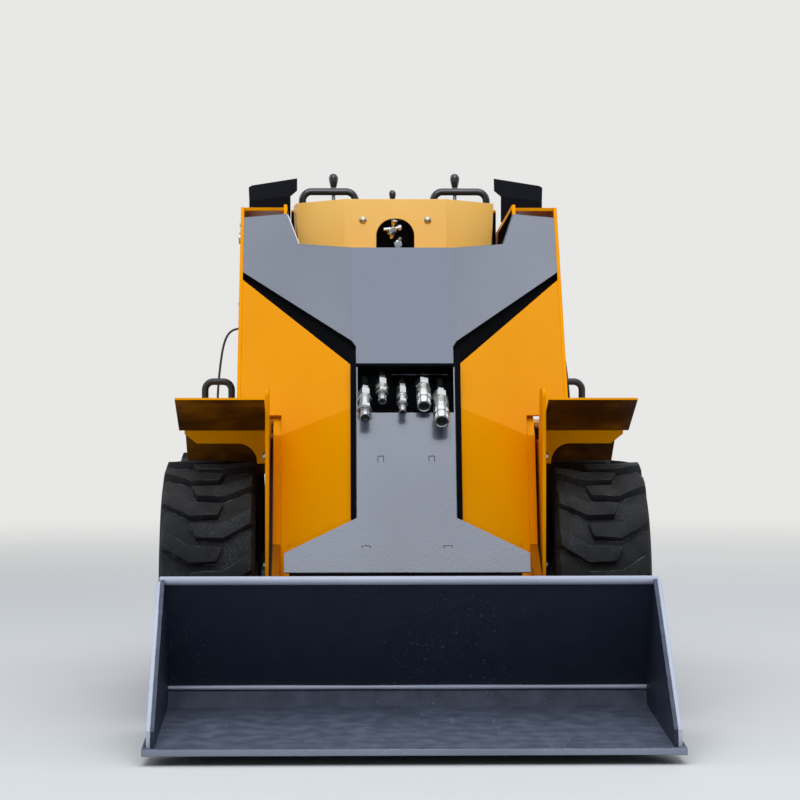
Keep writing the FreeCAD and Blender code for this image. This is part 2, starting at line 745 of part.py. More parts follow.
# Console: a three-facet front plate with an arch and side walls, and the housing behind it
end_slope = 9
console_rows = (
    (-dim.console_half, dim.console_front + dim.console_sweep),
    (-dim.console_flat, dim.console_front),
    (dim.console_flat, dim.console_front),
    (dim.console_half, dim.console_front + dim.console_sweep),
)
outline = [(x, along(y)) for x, y in console_rows]
outline += [(x, along(y + dim.sheet)) for x, y in reversed(console_rows)]
console_block = plate("console_block", "XY_Plane", outline, dim.console_top - dim.console_low,
                      dim.console_low)
console_face = plate("console_face", "XZ_Plane", (
    (end_slope - dim.console_half, dim.console_low),
    (-dim.console_half, dim.console_top - end_slope),
    (-dim.console_flat, dim.console_top),
    (dim.console_flat, dim.console_top),
    (dim.console_half, dim.console_top - end_slope),
    (dim.console_half - end_slope, dim.console_low),
), dim.console_sweep * 4, along(dim.console_front + dim.console_sweep * 2))
console_plate = doc.addObject("Part::Common", "console_plate")
console_plate.Base = console_block
console_plate.Tool = console_face
arch = plate("console_arch", "XZ_Plane", (
    (-dim.arch_half, dim.console_low - 5),
    (-dim.arch_half, dim.arch_top, dim.arch_half - 4),
    (dim.arch_half, dim.arch_top, dim.arch_half - 4),
    (dim.arch_half, dim.console_low - 5),
), 40, along(dim.console_front + 20))


def console_wall(sign):
    """A side wall that runs back from the sloping end of the console front, and outwards."""
    front = along(dim.console_front + dim.console_sweep + 2).number
    back = along(dim.grip_station + 90).number
    low, high = dim.console_low.number, (dim.console_top - end_slope).number
    half = dim.console_half.number
    return facet((
        (sign * (half - end_slope), front, low),
        (sign * half, front, high),
        (sign * (half + end_slope), back, high),
        (sign * half, back, low),
    ), dim.sheet.number - 1)


walls = [shaped("console_wall_" + side, console_wall(sign)) for side, sign in SIDES]
console_arched = less("console_arched", console_plate, [arch])
keep(joined("console_front", [console_arched] + walls))

housing_front = dim.console_front + dim.console_sweep + dim.sheet + 2
housing_rows = (
    (housing_front, dim.console_low + 30),
    (housing_front, dim.housing_top),
    (dim.grip_station + 90, dim.housing_top, 40),
    (dim.panel_back, dim.panel_top + 72),
    (dim.panel_back, dim.panel_top),
    (dim.grip_station + 100, dim.panel_top),
)
housing_half = dim.hood_half - 17
keep(plate("console_housing", "YZ_Plane", spots(housing_rows), housing_half * 2, -housing_half))


def tube(points, radius, turn):
    """A round tube along straight runs joined by arcs of one radius."""
    edges = []
    here = points[0]
    for before, corner, after in zip(points, points[1:], points[2:]):
        back = (before - corner).normalize()
        ahead = (after - corner).normalize()
        half = back.getAngle(ahead) / 2
        reach = turn / math.tan(half)
        start, end = corner + back * reach, corner + ahead * reach
        middle = corner + (back + ahead).normalize() * (turn / math.sin(half))
        top = middle + (corner - middle).normalize() * turn
        edges.append(Part.LineSegment(here, start).toShape())
        edges.append(Part.Arc(start, top, end).toShape())
        here = end
    edges.append(Part.LineSegment(here, points[-1]).toShape())
    path = Part.Wire(edges)
    section = Part.Wire(Part.makeCircle(radius, points[0], points[1] - points[0]))
    return path.makePipeShell([section], True, False)


def spot(x, station, z):
    return FreeCAD.Vector(float(x), float(station) - dim.half_length.number, float(z))


# Hand grips: two upturned loops of tube on the console
grip_turn = 24
grip_solids = []
for side, sign in SIDES:
    near = sign * (dim.grip_centre - dim.grip_width / 2).number
    far = sign * (dim.grip_centre + dim.grip_width / 2).number
    crown = (dim.grip_top - dim.grip_radius).number
    foot = (dim.housing_top + dim.seat_gap).number
    station = dim.grip_station.number
    loop = tube([spot(near, station, foot), spot(near, station, crown),
                 spot(far, station, crown), spot(far, station, foot)],
                dim.grip_radius.number, grip_turn)
    grip_solids.append(shaped("grip_" + side, loop))
keep(together("hand_grips", grip_solids))

# Levers: thin rods with round knobs
lever_rows = (
    # across, station, top of the knob
    (-dim.knob_place, dim.grip_station + 30, dim.knob_top),
    (dim.knob_place, dim.grip_station + 30, dim.knob_top),
    (as_size(-4), dim.grip_station + 50, dim.knob_top - 42),
)
lever_solids = []
for number, (x, station, top) in enumerate(lever_rows):
    foot = dim.housing_top + dim.seat_gap
    lever = turned("lever_%d" % number, (
        (0, 0), (0, 5), (top - foot - 40, 5), (top - foot - 36, 10), (top - foot - 16, 14, 6),
        (top - foot, 10, 4), (top - foot, 0),
    ))
    lever.Placement = FreeCAD.Placement(FreeCAD.Vector(), FreeCAD.Rotation(FreeCAD.Vector(1, 0, 0), 90))
    place(lever, x, along(station), foot)
    lever_solids.append(lever)
keep(together("levers", lever_solids))

# Platform at the back for the operator
bracket_top = dim.platform_top + 185
bracket_low = dim.platform_top + 45
bracket_rows = (
    (dim.beam_back - 10, bracket_top),
    (dim.beam_back + 30, bracket_top),
    (dim.beam_back + 90, dim.platform_top - dim.tread_sheet),
    (dim.platform_back - 10, dim.platform_top - dim.tread_sheet),
    (dim.platform_back - 10, dim.platform_top - 50),
    (dim.beam_back + 50, dim.platform_top - 50),
    (dim.beam_back - 10, bracket_low),
)
keep(together("platform_brackets", plate_pair("platform_bracket", bracket_rows, dim.platform_half - 62, 12)))
keep(plate("platform", "YZ_Plane", spots((
    (dim.beam_back + 92, dim.platform_top - dim.tread_sheet),
    (dim.beam_back + 92, dim.platform_top),
    (dim.platform_back, dim.platform_top),
    (dim.platform_back, dim.platform_top - dim.tread_sheet),
)), dim.platform_half * 2, -dim.platform_half))

# Rear hoops on the fenders
hoop_near = dim.fender_reach.number - 85
hoop_far = dim.fender_reach.number - 15
hoop_turn = 22
hoop_solids = []
for side, sign in SIDES:
    foot = (dim.fender_flat + dim.seat_gap).number
    crown = (dim.hoop_top - dim.hoop_radius).number
    station = dim.hoop_station.number
    hoop = tube([spot(sign * hoop_near, station, foot), spot(sign * hoop_near, station, crown),
                 spot(sign * hoop_far, station, crown), spot(sign * hoop_far, station, foot)],
                dim.hoop_radius.number, hoop_turn)
    hoop_solids.append(shaped("hoop_" + side, hoop))
keep(together("rear_hoops", hoop_solids))

# Side cables: from a gland on the tower out and down to the fender
# Each row is across, station and height, from the gland on the tower to the gland on the fender
gland_height = (dim.pivot_height + dim.lift_height) / 2 - 25
cable_route = ((379, 1985, 905), (420, 1985, 905), (444, 1979, 890), (456, 1966, 856), (462, 1946, 812),
               (466, 1922, 768), (468, 1898, 726), (468, 1886, 696), (468, 1886, 668))
cable_stretch = (gland_height - dim.fender_flat - 7).number / (cable_route[0][2] - cable_route[-1][2])
glands = []
for side, sign in SIDES:
    points = [spot(sign * x, station, gland_height.number + (z - cable_route[0][2]) * cable_stretch)
              for x, station, z in cable_route]
    runs = [(b - a).Length for a, b in zip(points, points[1:])]
    edges = []
    here = points[0]
    for index in range(1, len(points) - 1):
        corner = points[index]
        back = (points[index - 1] - corner).normalize()
        ahead = (points[index + 1] - corner).normalize()
        half = back.getAngle(ahead) / 2
        reach = 0.45 * min(runs[index - 1], runs[index])
        turn = reach * math.tan(half)
        start, end = corner + back * reach, corner + ahead * reach
        middle = corner + (back + ahead).normalize() * (turn / math.sin(half))
        top = middle + (corner - middle).normalize() * turn
        edges.append(Part.LineSegment(here, start).toShape())
        edges.append(Part.Arc(start, top, end).toShape())
        here = end
    edges.append(Part.LineSegment(here, points[-1]).toShape())
    path = Part.Wire(edges)
    section = Part.Wire(Part.makeCircle(dim.cable_radius.number, points[0], points[1] - points[0]))
    keep(shaped("side_cable_" + side, path.makePipeShell([section], True, False)))
    start, end = points[0], points[-1]
    low, high = sorted((sign * post_far.number, start.x))
    glands.append(rod_x("tower_gland_" + side, dim.cable_radius * 2, low, high, start.y, start.z))
    foot = doc.addObject("Part::Cylinder", "fender_gland_" + side)
    foot.Radius = 6
    foot.setExpression("Radius", "Sizes.cable_radius * 2")
    foot.Height = end.z - dim.fender_flat.number
    place(foot, end.x, end.y, dim.fender_flat)
    glands.append(foot)
keep(together("cable_glands", glands))

# Arm beams: an outer plate, an inner plate and a top plate on each side
sweep_run = (1 + dim.shoulder_lean * dim.shoulder_lean + dim.shoulder_sweep * dim.shoulder_sweep).root()
facet_edge = dim.arm_outer - dim.plate


def front_station(x, z, depth=0):
    """Station of the sloping front at a place across and a height, a depth behind its face."""
    x, z = as_size(x), as_size(z)
    return (dim.shoulder_station + dim.shoulder_lean * (z - dim.shoulder_height)
            - dim.shoulder_sweep * (facet_edge - x) + sweep_run * depth)


column_run = (1 + dim.column_lean * dim.column_lean).root()


def column_front(z, depth=0):
    """Station of the lower front plate at a height, a depth behind its face."""
    return dim.column_station + dim.column_lean * (as_size(z) - dim.column_height) + column_run * depth


def behind_column(z, depth):
    """Station and height of the place straight behind the lower front plate."""
    run = as_size(depth) / column_run
    return (column_front(z) + run, as_size(z) - dim.column_lean * run)


behind_web = dim.web_depth + dim.sheet
top_station = front_station(facet_edge, dim.arm_top)
end_reach = dim.arm_end + 5
end_station = dim.pivot_station + end_reach
level_station = dim.pivot_station - 40
arm_fall = (dim.arm_top - dim.pivot_height - end_reach) / (level_station - top_station)


def beam_top(station):
    """Height of the top edge of the beams at a station."""
    return dim.arm_top - arm_fall * (as_size(station) - top_station)


def beam_outline(front_x, depth, drop=0):
    """Side view of a beam plate; drop is how far its front runs down past the underside."""
    low = dim.arm_bottom - drop
    level = front_station(front_x, dim.arm_top, depth)
    tilt = dim.shoulder_lean * arm_fall
    high = (level + tilt * top_station) / (1 + tilt)
    front = [(front_station(front_x, low, depth), low), (high, beam_top(high))]
    foot_end = dim.shoulder_station + 30
    foot = [(foot_end - drop, low), (foot_end, dim.arm_bottom)] if drop else []
    return spots(front + [
        (level_station, dim.pivot_height + end_reach),
        (end_station, dim.pivot_height + end_reach, dim.arm_end),
        (end_station, dim.pivot_height - end_reach, dim.arm_end),
        (dim.arm_waist, dim.pivot_height - dim.arm_waist_drop),
        (dim.arm_heel, dim.arm_bottom),
    ] + list(reversed(foot)))


def arm_beam(label, sign):
    def low(inner, outer):
        return from_middle(inner, outer, sign)
    outer = plate(label + "_outer", "YZ_Plane", beam_outline(facet_edge, 0), dim.plate,
                  low(facet_edge, dim.arm_outer))
    inner = plate(label + "_inner", "YZ_Plane", beam_outline(dim.arm_inner + dim.plate, behind_web, 70),
                  dim.plate, low(dim.arm_inner, dim.arm_inner + dim.plate))
    start, end = top_station + 7, dim.cover_end
    top = plate(label + "_top", "YZ_Plane", spots((
        (start, beam_top(start) - dim.plate),
        (start, beam_top(start)),
        (end, beam_top(end)),
        (end, beam_top(end) - dim.plate),
    )), facet_edge - dim.arm_inner - dim.plate, low(dim.arm_inner + dim.plate, facet_edge))
    if sign > 0:
        ends = (dim.arm_inner - 5, dim.arm_outer + 5)
    else:
        ends = (-(dim.arm_outer + 5), -(dim.arm_inner - 5))
    bores = [
        rod_x(label + "_pivot_bore", dim.pivot_pin + dim.seat_gap, ends[0], ends[1],
              along(dim.pivot_station), dim.pivot_height),
        rod_x(label + "_boss_bore", dim.lift_pin + dim.seat_gap, ends[0], ends[1],
              along(dim.boss_station), dim.boss_height),
    ]
    return keep(less(label, joined(label + "_plates", [outer, inner, top]), bores))


both_sides("arm_beam", arm_beam)


def sloping(sign, rows, depth=0):
    """Corners on the sloping front from (across, height) pairs."""
    corners = []
    for x, z in rows:
        x, z = as_size(x), as_size(z)
        corners.append((sign * x.number, along(front_station(x, z, depth)).number, z.number))
    return corners


# Shoulders: yellow plates each side of the column, bent once
inner_bend = dim.column_height


def shoulder_shape(sign):
    leg_x = dim.leg_outer - dim.leg_plate
    upper = facet(sloping(sign, (
        (dim.band_half, inner_bend),
        (dim.band_half, dim.band_bottom),
        (facet_edge, dim.wing_outer_low - dim.groove),
        (facet_edge, dim.arm_bottom),
        (leg_x, dim.arm_bottom),
        (leg_x, dim.knee_outer),
    )), dim.front_plate.number)
    inner_top = sloping(sign, ((dim.band_half, inner_bend),))[0]
    outer_top = sloping(sign, ((leg_x, dim.knee_outer),))[0]
    foot = dim.flare_start.number
    fall = dim.column_lean.number * (inner_bend.number - foot)
    inner_low = (sign * dim.band_half.number, inner_top[1] - fall, foot)
    edge_a = FreeCAD.Vector(*inner_low) - FreeCAD.Vector(*inner_top)
    edge_b = FreeCAD.Vector(*outer_top) - FreeCAD.Vector(*inner_top)
    normal = edge_a.cross(edge_b)

    def on_plane(x, z):
        dx, dz = x - inner_top[0], z - inner_top[2]
        return (x, inner_top[1] - (normal.x * dx + normal.z * dz) / normal.y, z)

    low = dim.flare_top.number
    lower = facet([
        inner_top,
        outer_top,
        on_plane(sign * leg_x.number, low),
        on_plane(sign * dim.flare_half.number, low),
        inner_low,
    ], dim.front_plate.number)
    return upper.fuse(lower)


for side, sign in SIDES:
    keep(shaped("arm_shoulder_" + side, shoulder_shape(sign)))

# Upper front plate: a leaning centre band with a wing each side, and the neck over the recess


def front_plate_shape(depth, thick, rows, band):
    """Wings on the sloping front with the flat band between them. band rows are (half width, height)."""
    shape = None
    for sign in (-1, 1):
        wing = facet(sloping(sign, rows, depth), thick)
        shape = wing if shape is None else shape.fuse(wing)
    flat = []
    for half, height in band:
        station = along(front_station(dim.band_half, height, depth)).number
        flat.append((as_size(half).number, station, as_size(height).number))
    corners = [(-x, y, z) for x, y, z in flat] + list(reversed(flat))
    shape = shape.fuse(facet(corners, thick))
    return shape


wing_rows = (
    (dim.band_half, dim.wing_low),
    (facet_edge, dim.wing_outer_low),
    (facet_edge, dim.wing_top),
    (dim.arm_inner, dim.wing_top + 4),
    (dim.arm_inner - 29, dim.band_top + 14),
    (dim.band_half, dim.band_top),
)
front = front_plate_shape(0, dim.front_plate.number, wing_rows, (
    (dim.column_half, dim.band_bottom),
    (dim.column_half, dim.wing_low - 12),
    (dim.band_half, dim.wing_low),
    (dim.band_half, dim.band_top),
))
keep(shaped("arm_front_plate", front))

# Web: the dark plate behind the front plates that joins the two beams
web_low = dim.arm_bottom + 30
web_rows = (
    (dim.band_half, web_low),
    (facet_edge, web_low),
    (facet_edge, dim.wing_top - 30),
    (dim.arm_inner, dim.wing_top - 30),
    (dim.arm_inner - 24, dim.band_top - 8),
    (dim.band_half, dim.band_top - 14),
)
web = front_plate_shape(dim.web_depth.number, dim.sheet.number, web_rows, (
    (dim.band_half, dim.nest_high + 24),
    (dim.band_half, dim.band_top - 14),
))
keep(shaped("arm_web", web))

# Lower front plate: the black column with its foot, and the coupler recess cut in its top
column_rows = (
    (dim.column_half, dim.band_bottom - 3),
    (dim.column_half, dim.flare_start),
    (dim.flare_half, dim.flare_top),
    (dim.flare_half, dim.flare_bottom),
)


def column_corner(x, z, depth=0):
    z = as_size(z)
    return (x, along(column_front(z, depth)).number, z.number)


corners = [column_corner(-x.number, z) for x, z in column_rows]
corners += [column_corner(x.number, z) for x, z in reversed(column_rows)]
column_plate = facet(corners, dim.front_plate.number)
nest = dim.nest_half.number
hole_top = dim.band_bottom + 10
hole = facet([
    column_corner(-nest, dim.nest_low, -20), column_corner(-nest, hole_top, -20),
    column_corner(nest, hole_top, -20), column_corner(nest, dim.nest_low, -20),
], 60)
keep(shaped("arm_lower_plate", column_plate.cut(hole)))

# Coupler nest: a box behind the recess
rim = 4
nest_roof = dim.nest_high + 14


def nest_box(margin, depth, deep):
    low, high = dim.nest_low - margin, nest_roof + margin
    return facet([
        column_corner(-nest - margin, low, depth), column_corner(-nest - margin, high, depth),
        column_corner(nest + margin, high, depth), column_corner(nest + margin, low, depth),
    ], deep)


shell = nest_box(rim, dim.front_plate, dim.nest_depth.number)
hollow = nest_box(0, 0, (dim.nest_depth + dim.front_plate).number - rim)
keep(shaped("coupler_nest", shell.cut(hollow)))

# Couplers: five hydraulic quick couplers that point forwards and down out of the nest
coupler_rows = (
    # across, height of the tip, how far the tip stands out, radius, length of the body, sleeve
    (-92, 688, 52, 14, 92, False),
    (-53, 724, 30, 12, 73, False),
    (-8, 700, 40, 12, 82, False),
    (40, 713, 36, 15, 90, True),
    (78, 680, 62, 15, 96, True),
)
coupler_solids = []
droop = 35
lean_in = 1 / math.tan(math.radians(droop)) - dim.column_lean.number
wall = dim.front_plate + dim.nest_depth - rim
for number, (x, tip, out, radius, body_length, sleeve) in enumerate(coupler_rows):
    rise = (out + column_run.number * wall.number - 8) / lean_in
    total = rise / math.sin(math.radians(droop))
    stem = total - body_length
    root = [(0, 0), (0, 8), (stem, 8), (stem + 2, radius - 2)]
    if sleeve:
        middle = [(stem + 20, radius - 2), (stem + 22, radius), (total - 50, radius),
                  (total - 48, radius - 2), (total - 42, radius - 2), (total - 40, radius)]
    else:
        middle = [(stem + 14, radius - 2), (stem + 14, radius), (stem + 24, radius), (stem + 24, radius - 2),
                  (total - 36, radius - 2), (total - 34, radius)]
    nose = [(total - 24, radius), (total - 22, radius - 3), (total - 2, radius - 3),
            (total, radius - 5), (total, 0)]
    coupler = turned("coupler_%d" % number, root + middle + nose)
    turn = FreeCAD.Rotation(FreeCAD.Vector(1, 0, 0), 180 + droop)
    coupler.Placement = FreeCAD.Placement(FreeCAD.Vector(), turn)
    base = as_size(tip + rise)
    place(coupler, x, along(column_front(base, wall) - 8), base)
    coupler_solids.append(coupler)
keep(together("couplers", coupler_solids))

# Arm legs: plates from the shoulders down to the bucket pins
leg_inner = dim.leg_outer - dim.leg_plate
leg_knee = front_station(leg_inner, dim.knee_outer)
leg_top = dim.arm_bottom - 3.2
leg_rows = (
    (dim.bucket_station - 40, dim.bucket_height - 40, 34),
    (dim.bucket_station - 26, dim.flare_bottom - 20),
    (leg_knee - 92, dim.flare_top + 10),
    (leg_knee, dim.knee_outer),
    (front_station(leg_inner, leg_top) + 4, leg_top),
    (front_station(leg_inner, leg_top) + 145, leg_top),
    (leg_knee - 18, dim.leg_heel),
    (dim.bucket_station + 40, dim.bucket_height - 40, 34),
)


def arm_leg(label, sign):
    low = from_middle(dim.leg_outer - dim.leg_plate, dim.leg_outer, sign)
    blank = plate(label + "_blank", "YZ_Plane", spots(leg_rows), dim.leg_plate, low)
    ends = (low - 5, low + dim.leg_plate + 5)
    bore = rod_x(label + "_bore", dim.bucket_pin + dim.seat_gap, ends[0], ends[1],
                 along(dim.bucket_station), dim.bucket_height)
    return keep(less(label, blank, [bore]))


both_sides("arm_leg", arm_leg)

# Arm ribs: plates behind the column that tie the lower plate to the web
nest_back = dim.front_plate + dim.nest_depth + dim.seat_gap
rib_top = dim.tilt_height + 40
rib_knee = dim.nest_low - 56
rib_rows = (
    (column_front(dim.flare_bottom + 6, dim.front_plate), dim.flare_bottom + 6),
    behind_column(dim.nest_low - rim - dim.seat_gap, dim.front_plate),
    behind_column(dim.nest_low - rim - dim.seat_gap, nest_back),
    behind_column(nest_roof + rim, nest_back),
    (front_station(dim.band_half, nest_roof + rim + 4, behind_web) + 6, nest_roof + rim + 4),
    (front_station(dim.band_half, rib_top, behind_web) + 6, rib_top),
    (front_station(dim.band_half, rib_top, behind_web) + 70, rib_top),
    (column_front(rib_knee) + 120, rib_knee),
    (column_front(dim.flare_bottom + 6) + 60, dim.flare_bottom + 6),
)
keep(together("arm_ribs", plate_pair("arm_rib", rib_rows, dim.nest_half - rim, 12)))

# Cross tube between the beams, with the lugs of the tilt cylinder
lug_in = 34
lug_plate = 12
tilt_half = 22
cross = rod_x("cross_tube_bar", dim.cross_radius, -dim.arm_inner, dim.arm_inner, along(dim.cross_station),
              dim.cross_height)
cross_lug_rows = (
    (dim.cross_station - 26, dim.cross_height),
    (dim.cross_station + 26, dim.cross_height),
    (dim.tilt_station + 30, dim.tilt_height - 26, 20),
    (dim.tilt_station - 30, dim.tilt_height - 26, 20),
)
cross_lugs = plate_pair("cross_lug", cross_lug_rows, lug_in, lug_plate)
lug_bore = rod_x("cross_lug_bore", dim.lift_pin + dim.seat_gap, -60, 60, along(dim.tilt_station),
                 dim.tilt_height)
keep(less("arm_cross_tube", joined("cross_tube_raw", [cross] + cross_lugs), [lug_bore]))

# Pins fixed in the arm: bucket pins, stub pins of the lift rods, and the tilt barrel pin
tilt_pin_half = lug_in + lug_plate
pins = [rod_x("tilt_top_pin", dim.lift_pin, -tilt_pin_half, tilt_pin_half, along(dim.tilt_station),
              dim.tilt_height)]
for side, sign in SIDES:
    for use, radius, station, height, inner, outer in (
        ("bucket", dim.bucket_pin, dim.bucket_station, dim.bucket_height,
         dim.leg_outer - 48, dim.leg_outer + 3),
        ("boss_in", dim.lift_pin, dim.boss_station, dim.boss_height,
         dim.arm_inner - 4, dim.lift_centre - 20),
        ("boss_out", dim.lift_pin, dim.boss_station, dim.boss_height,
         dim.lift_centre + 20, dim.arm_outer + 8),
    ):
        low, high = (inner, outer) if sign > 0 else (-outer, -inner)
        pins.append(rod_x("%s_pin_%s" % (use, side), radius, low, high, along(station), height))
keep(together("arm_pins", pins))

# Guards: bent sheets on top of the beams beside the console, higher at their inner ends
guard_station = 1645
guard_sheet = 4
guard_lean = 0.4
guard_rows = (
    # across, height over the top of the beam; the first and the last are on the fold
    (377, 54),
    (379, 90),
    (371, 95),
    (254, 114),
    (254, 83),
    (271, 68),
)
guard_foot = beam_top(guard_station).number


def guard_shape(sign):
    upper = [(sign * x, along(guard_station).number + guard_lean * (up - guard_rows[0][1]), guard_foot + up)
             for x, up in guard_rows]
    outer, inner = upper[0], upper[-1]
    foot = guard_foot + dim.seat_gap.number
    lower = (outer, inner, (inner[0], inner[1], foot), (outer[0], outer[1], foot))
    return facet(upper, guard_sheet).fuse(facet(lower, guard_sheet))


keep(together("arm_guards", [shaped("arm_guard_" + side, guard_shape(sign)) for side, sign in SIDES]))

# Lift cylinders: a barrel on the tower foot pin and a rod to the boss in the beam
lift_run = dim.boss_station - dim.lift_station
lift_rise = dim.boss_height - dim.lift_height
lift_angle = bearing(lift_run, lift_rise)
lift_length = length_of(lift_run, lift_rise)


def cylinder_half(label, corners, bores, eye_place, eye_radius, eye_half):
    """A turned barrel or rod with an eye across it, along local Y."""
    turned_part = turned(label + "_tube", corners)
    eye = rod_x(label + "_eye", eye_radius, -eye_half, eye_half, eye_place, 0)
    tools = [rod_x("%s_bore_%d" % (label, number), radius, -eye_half - 2, eye_half + 2, at, 0)
             for number, (at, radius) in enumerate(bores)]
    raw = joined(label + "_raw", [turned_part, eye])
    return less(label, raw, tools) if tools else raw


def aim(thing, x, y, z, angle):
    turn = FreeCAD.Rotation(FreeCAD.Vector(1, 0, 0), angle.number)
    thing.Placement = FreeCAD.Placement(FreeCAD.Vector(), turn)
    thing.setExpression("Placement.Rotation.Angle", angle.text)
    return place(thing, x, y, z)


lift_bore_start = 190
lift_barrel_end = 478
lift_rod_start = 225
bore = dim.lift_rod + dim.seat_gap
for side, sign in SIDES:
    barrel = cylinder_half("lift_barrel_" + side, (
        (18, 0), (18, dim.lift_barrel), (lift_barrel_end, dim.lift_barrel), (lift_barrel_end, bore),
        (lift_bore_start, bore), (lift_bore_start, 0),
    ), [(0, dim.lift_pin + dim.seat_gap)], 0, dim.lift_eye, 19)
    keep(aim(barrel, sign * dim.lift_centre, along(dim.lift_station), dim.lift_height, lift_angle))
for side, sign in SIDES:
    rod = cylinder_half("lift_rod_" + side, (
        (lift_rod_start, 0), (lift_rod_start, dim.lift_rod),
        (lift_length - 8, dim.lift_rod), (lift_length - 8, 0),
    ), [(lift_length, dim.lift_pin)], lift_length, dim.lift_eye, 17)
    keep(aim(rod, sign * dim.lift_centre, along(dim.lift_station), dim.lift_height, lift_angle))

# Tilt cylinder: a barrel on the cross tube and a rod to the attachment plate
eye_height = dim.bucket_height + dim.lever
tilt_run = dim.bucket_station - dim.tilt_station
tilt_rise = eye_height - dim.tilt_height
tilt_angle = bearing(tilt_run, tilt_rise)
tilt_length = length_of(tilt_run, tilt_rise)
tilt_bore_start = 250
tilt_barrel_end = 560
tilt_rod_start = 300
bore = dim.tilt_rod + dim.seat_gap
barrel = cylinder_half("tilt_barrel", (
    (18, 0), (18, dim.tilt_barrel), (tilt_barrel_end, dim.tilt_barrel), (tilt_barrel_end, bore),
    (tilt_bore_start, bore), (tilt_bore_start, 0),
), [(0, dim.lift_pin + dim.seat_gap)], 0, dim.tilt_eye, tilt_half)
keep(aim(barrel, 0, along(dim.tilt_station), dim.tilt_height, tilt_angle))
rod = cylinder_half("tilt_rod", (
    (tilt_rod_start, 0), (tilt_rod_start, dim.tilt_rod),
    (tilt_length - 8, dim.tilt_rod), (tilt_length - 8, 0),
), [(tilt_length, dim.lift_pin)], tilt_length, dim.tilt_eye, 16)
keep(aim(rod, 0, along(dim.tilt_station), dim.tilt_height, tilt_angle))

# Bucket: a bent shell with the cutting edge in front, two sides and a round lip
floor_slope = (dim.floor_rise - dim.edge_bottom - dim.edge_bar) / dim.floor_back
floor_front = dim.edge_bottom + dim.edge_bar + floor_slope * dim.edge_depth
shell_rows = (
    (dim.edge_depth, floor_front),
    (dim.floor_back, dim.floor_rise),
    (dim.heel_station, dim.heel_height),
    (dim.lip_station, dim.lip_height),
)
bucket_inner = dim.bucket_half - dim.plate
bucket_sheet = strip("bucket_sheet", shell_rows, dim.plate, -bucket_inner, bucket_inner, -1)
lip_bar = rod_x("bucket_lip", dim.lip_radius, -bucket_inner, bucket_inner, along(dim.lip_station + 3),
                dim.lip_height - 1)
keep(joined("bucket_shell", [bucket_sheet, lip_bar]))

side_rows = (
    (15, dim.edge_bottom + dim.edge_bar + floor_slope * 15),
    (15, 69),
    (dim.lip_station - 6, dim.lip_height + 2, 8),
    (dim.lip_station + 12, dim.lip_height + 4, 6),
    (dim.heel_station + 10, dim.heel_height),
    (dim.floor_back + 4, dim.floor_rise - dim.plate),
    (dim.edge_depth, floor_front - dim.plate),
    (dim.edge_depth, floor_front),
)
keep(together("bucket_sides", plate_pair("bucket_side", side_rows, bucket_inner, dim.plate)))
keep(plate("cutting_edge", "YZ_Plane", spots((
    (0, dim.edge_bottom),
    (0, dim.edge_bottom + dim.edge_bar),
    (dim.edge_depth, floor_front),
    (dim.edge_depth, floor_front - dim.edge_bar),
)), dim.edge_half * 2, -dim.edge_half))

# Attachment plate on the back of the bucket, with ears for the pins and lugs for the rod
back_run = dim.heel_station - dim.lip_station
back_rise = dim.lip_height - dim.heel_height
back_length = length_of(back_run, back_rise)


def hitch_spot(up, back):
    """A station and height on the back of the bucket: up along its wall and back from it."""
    back = dim.plate + back
    return (dim.heel_station - back_run * up / back_length + back_rise * back / back_length,
            dim.heel_height + back_rise * up / back_length + back_run * back / back_length)


hitch_low, hitch_high, ear_high = 12, 190, 150
low_end = hitch_spot(hitch_low, dim.seat_gap)
top_end = hitch_spot(hitch_high, dim.seat_gap)
hitch_reach = dim.hitch_half + 36
hitch = strip("hitch_sheet", (low_end, top_end), dim.hitch_plate, -hitch_reach, hitch_reach, -1)
ear_rows = (
    hitch_spot(hitch_low + 2, 4),
    hitch_spot(ear_high, 4),
    (dim.bucket_station + 34, dim.bucket_height + 34, 30),
    (dim.bucket_station + 34, dim.bucket_height - 34, 30),
)
ears = plate_pair("hitch_ear", ear_rows, dim.hitch_half + 18, 14)
rod_lug_rows = (
    hitch_spot(hitch_low + 2, 4),
    hitch_spot(hitch_high - 2, 4),
    (dim.bucket_station - 30, eye_height + 28, 24),
    (dim.bucket_station + 30, eye_height + 28, 24),
    (dim.bucket_station + 20, dim.bucket_height + 60, 10),
)
rod_lugs = plate_pair("hitch_lug", rod_lug_rows, 22, lug_plate)
bores = [
    rod_x("hitch_pin_bore", dim.bucket_pin + dim.seat_gap, -hitch_reach, hitch_reach,
          along(dim.bucket_station), dim.bucket_height),
    rod_x("hitch_lug_bore", dim.lift_pin + dim.seat_gap, -60, 60, along(dim.bucket_station), eye_height),
]
keep(less("attach_plate", joined("hitch_raw", [hitch] + ears + rod_lugs), bores))
keep(together("attach_pins", [
    rod_x("attach_pin_" + side, dim.lift_pin, low, high, along(dim.bucket_station), eye_height)
    for side, low, high in (("left", -42, -20), ("right", 20, 42))
]))

# Tyres: a carcass of flat-sided rings, with lugs that bend inwards from both shoulders
tyre_sides = 32
lug_count = 16
lug_pitch = 2 * math.pi / lug_count
crown = dim.tyre_radius - dim.lug_height
bead_radius = (dim.rim_radius + dim.seat_gap) / math.cos(math.pi / tyre_sides)
carcass_rows = (
    # across from the middle of the tyre, radius
    (dim.rim_width / 2, bead_radius),
    (dim.tyre_width / 2, dim.rim_radius + 64),
    (dim.tread_half - 2, crown),
)
lug_rows = (
    # across as a share of tread_half, height over the crown, the two edges round the tyre as shares
    # of the pitch, share of the root across, height of the root over the crown
    (0.98, 17, 0.00, 0.37, 0.95, -11),
    (0.38, 20, 0.35, 0.715, 1.0, -9),
    (-0.28, 20, 0.38, 0.685, 1.0, -9),
)


def wheel_spot(x, radius, turn):
    """A place on a wheel; turn runs from the front downwards, in radians."""
    return FreeCAD.Vector(x, -radius * math.cos(turn), -radius * math.sin(turn))


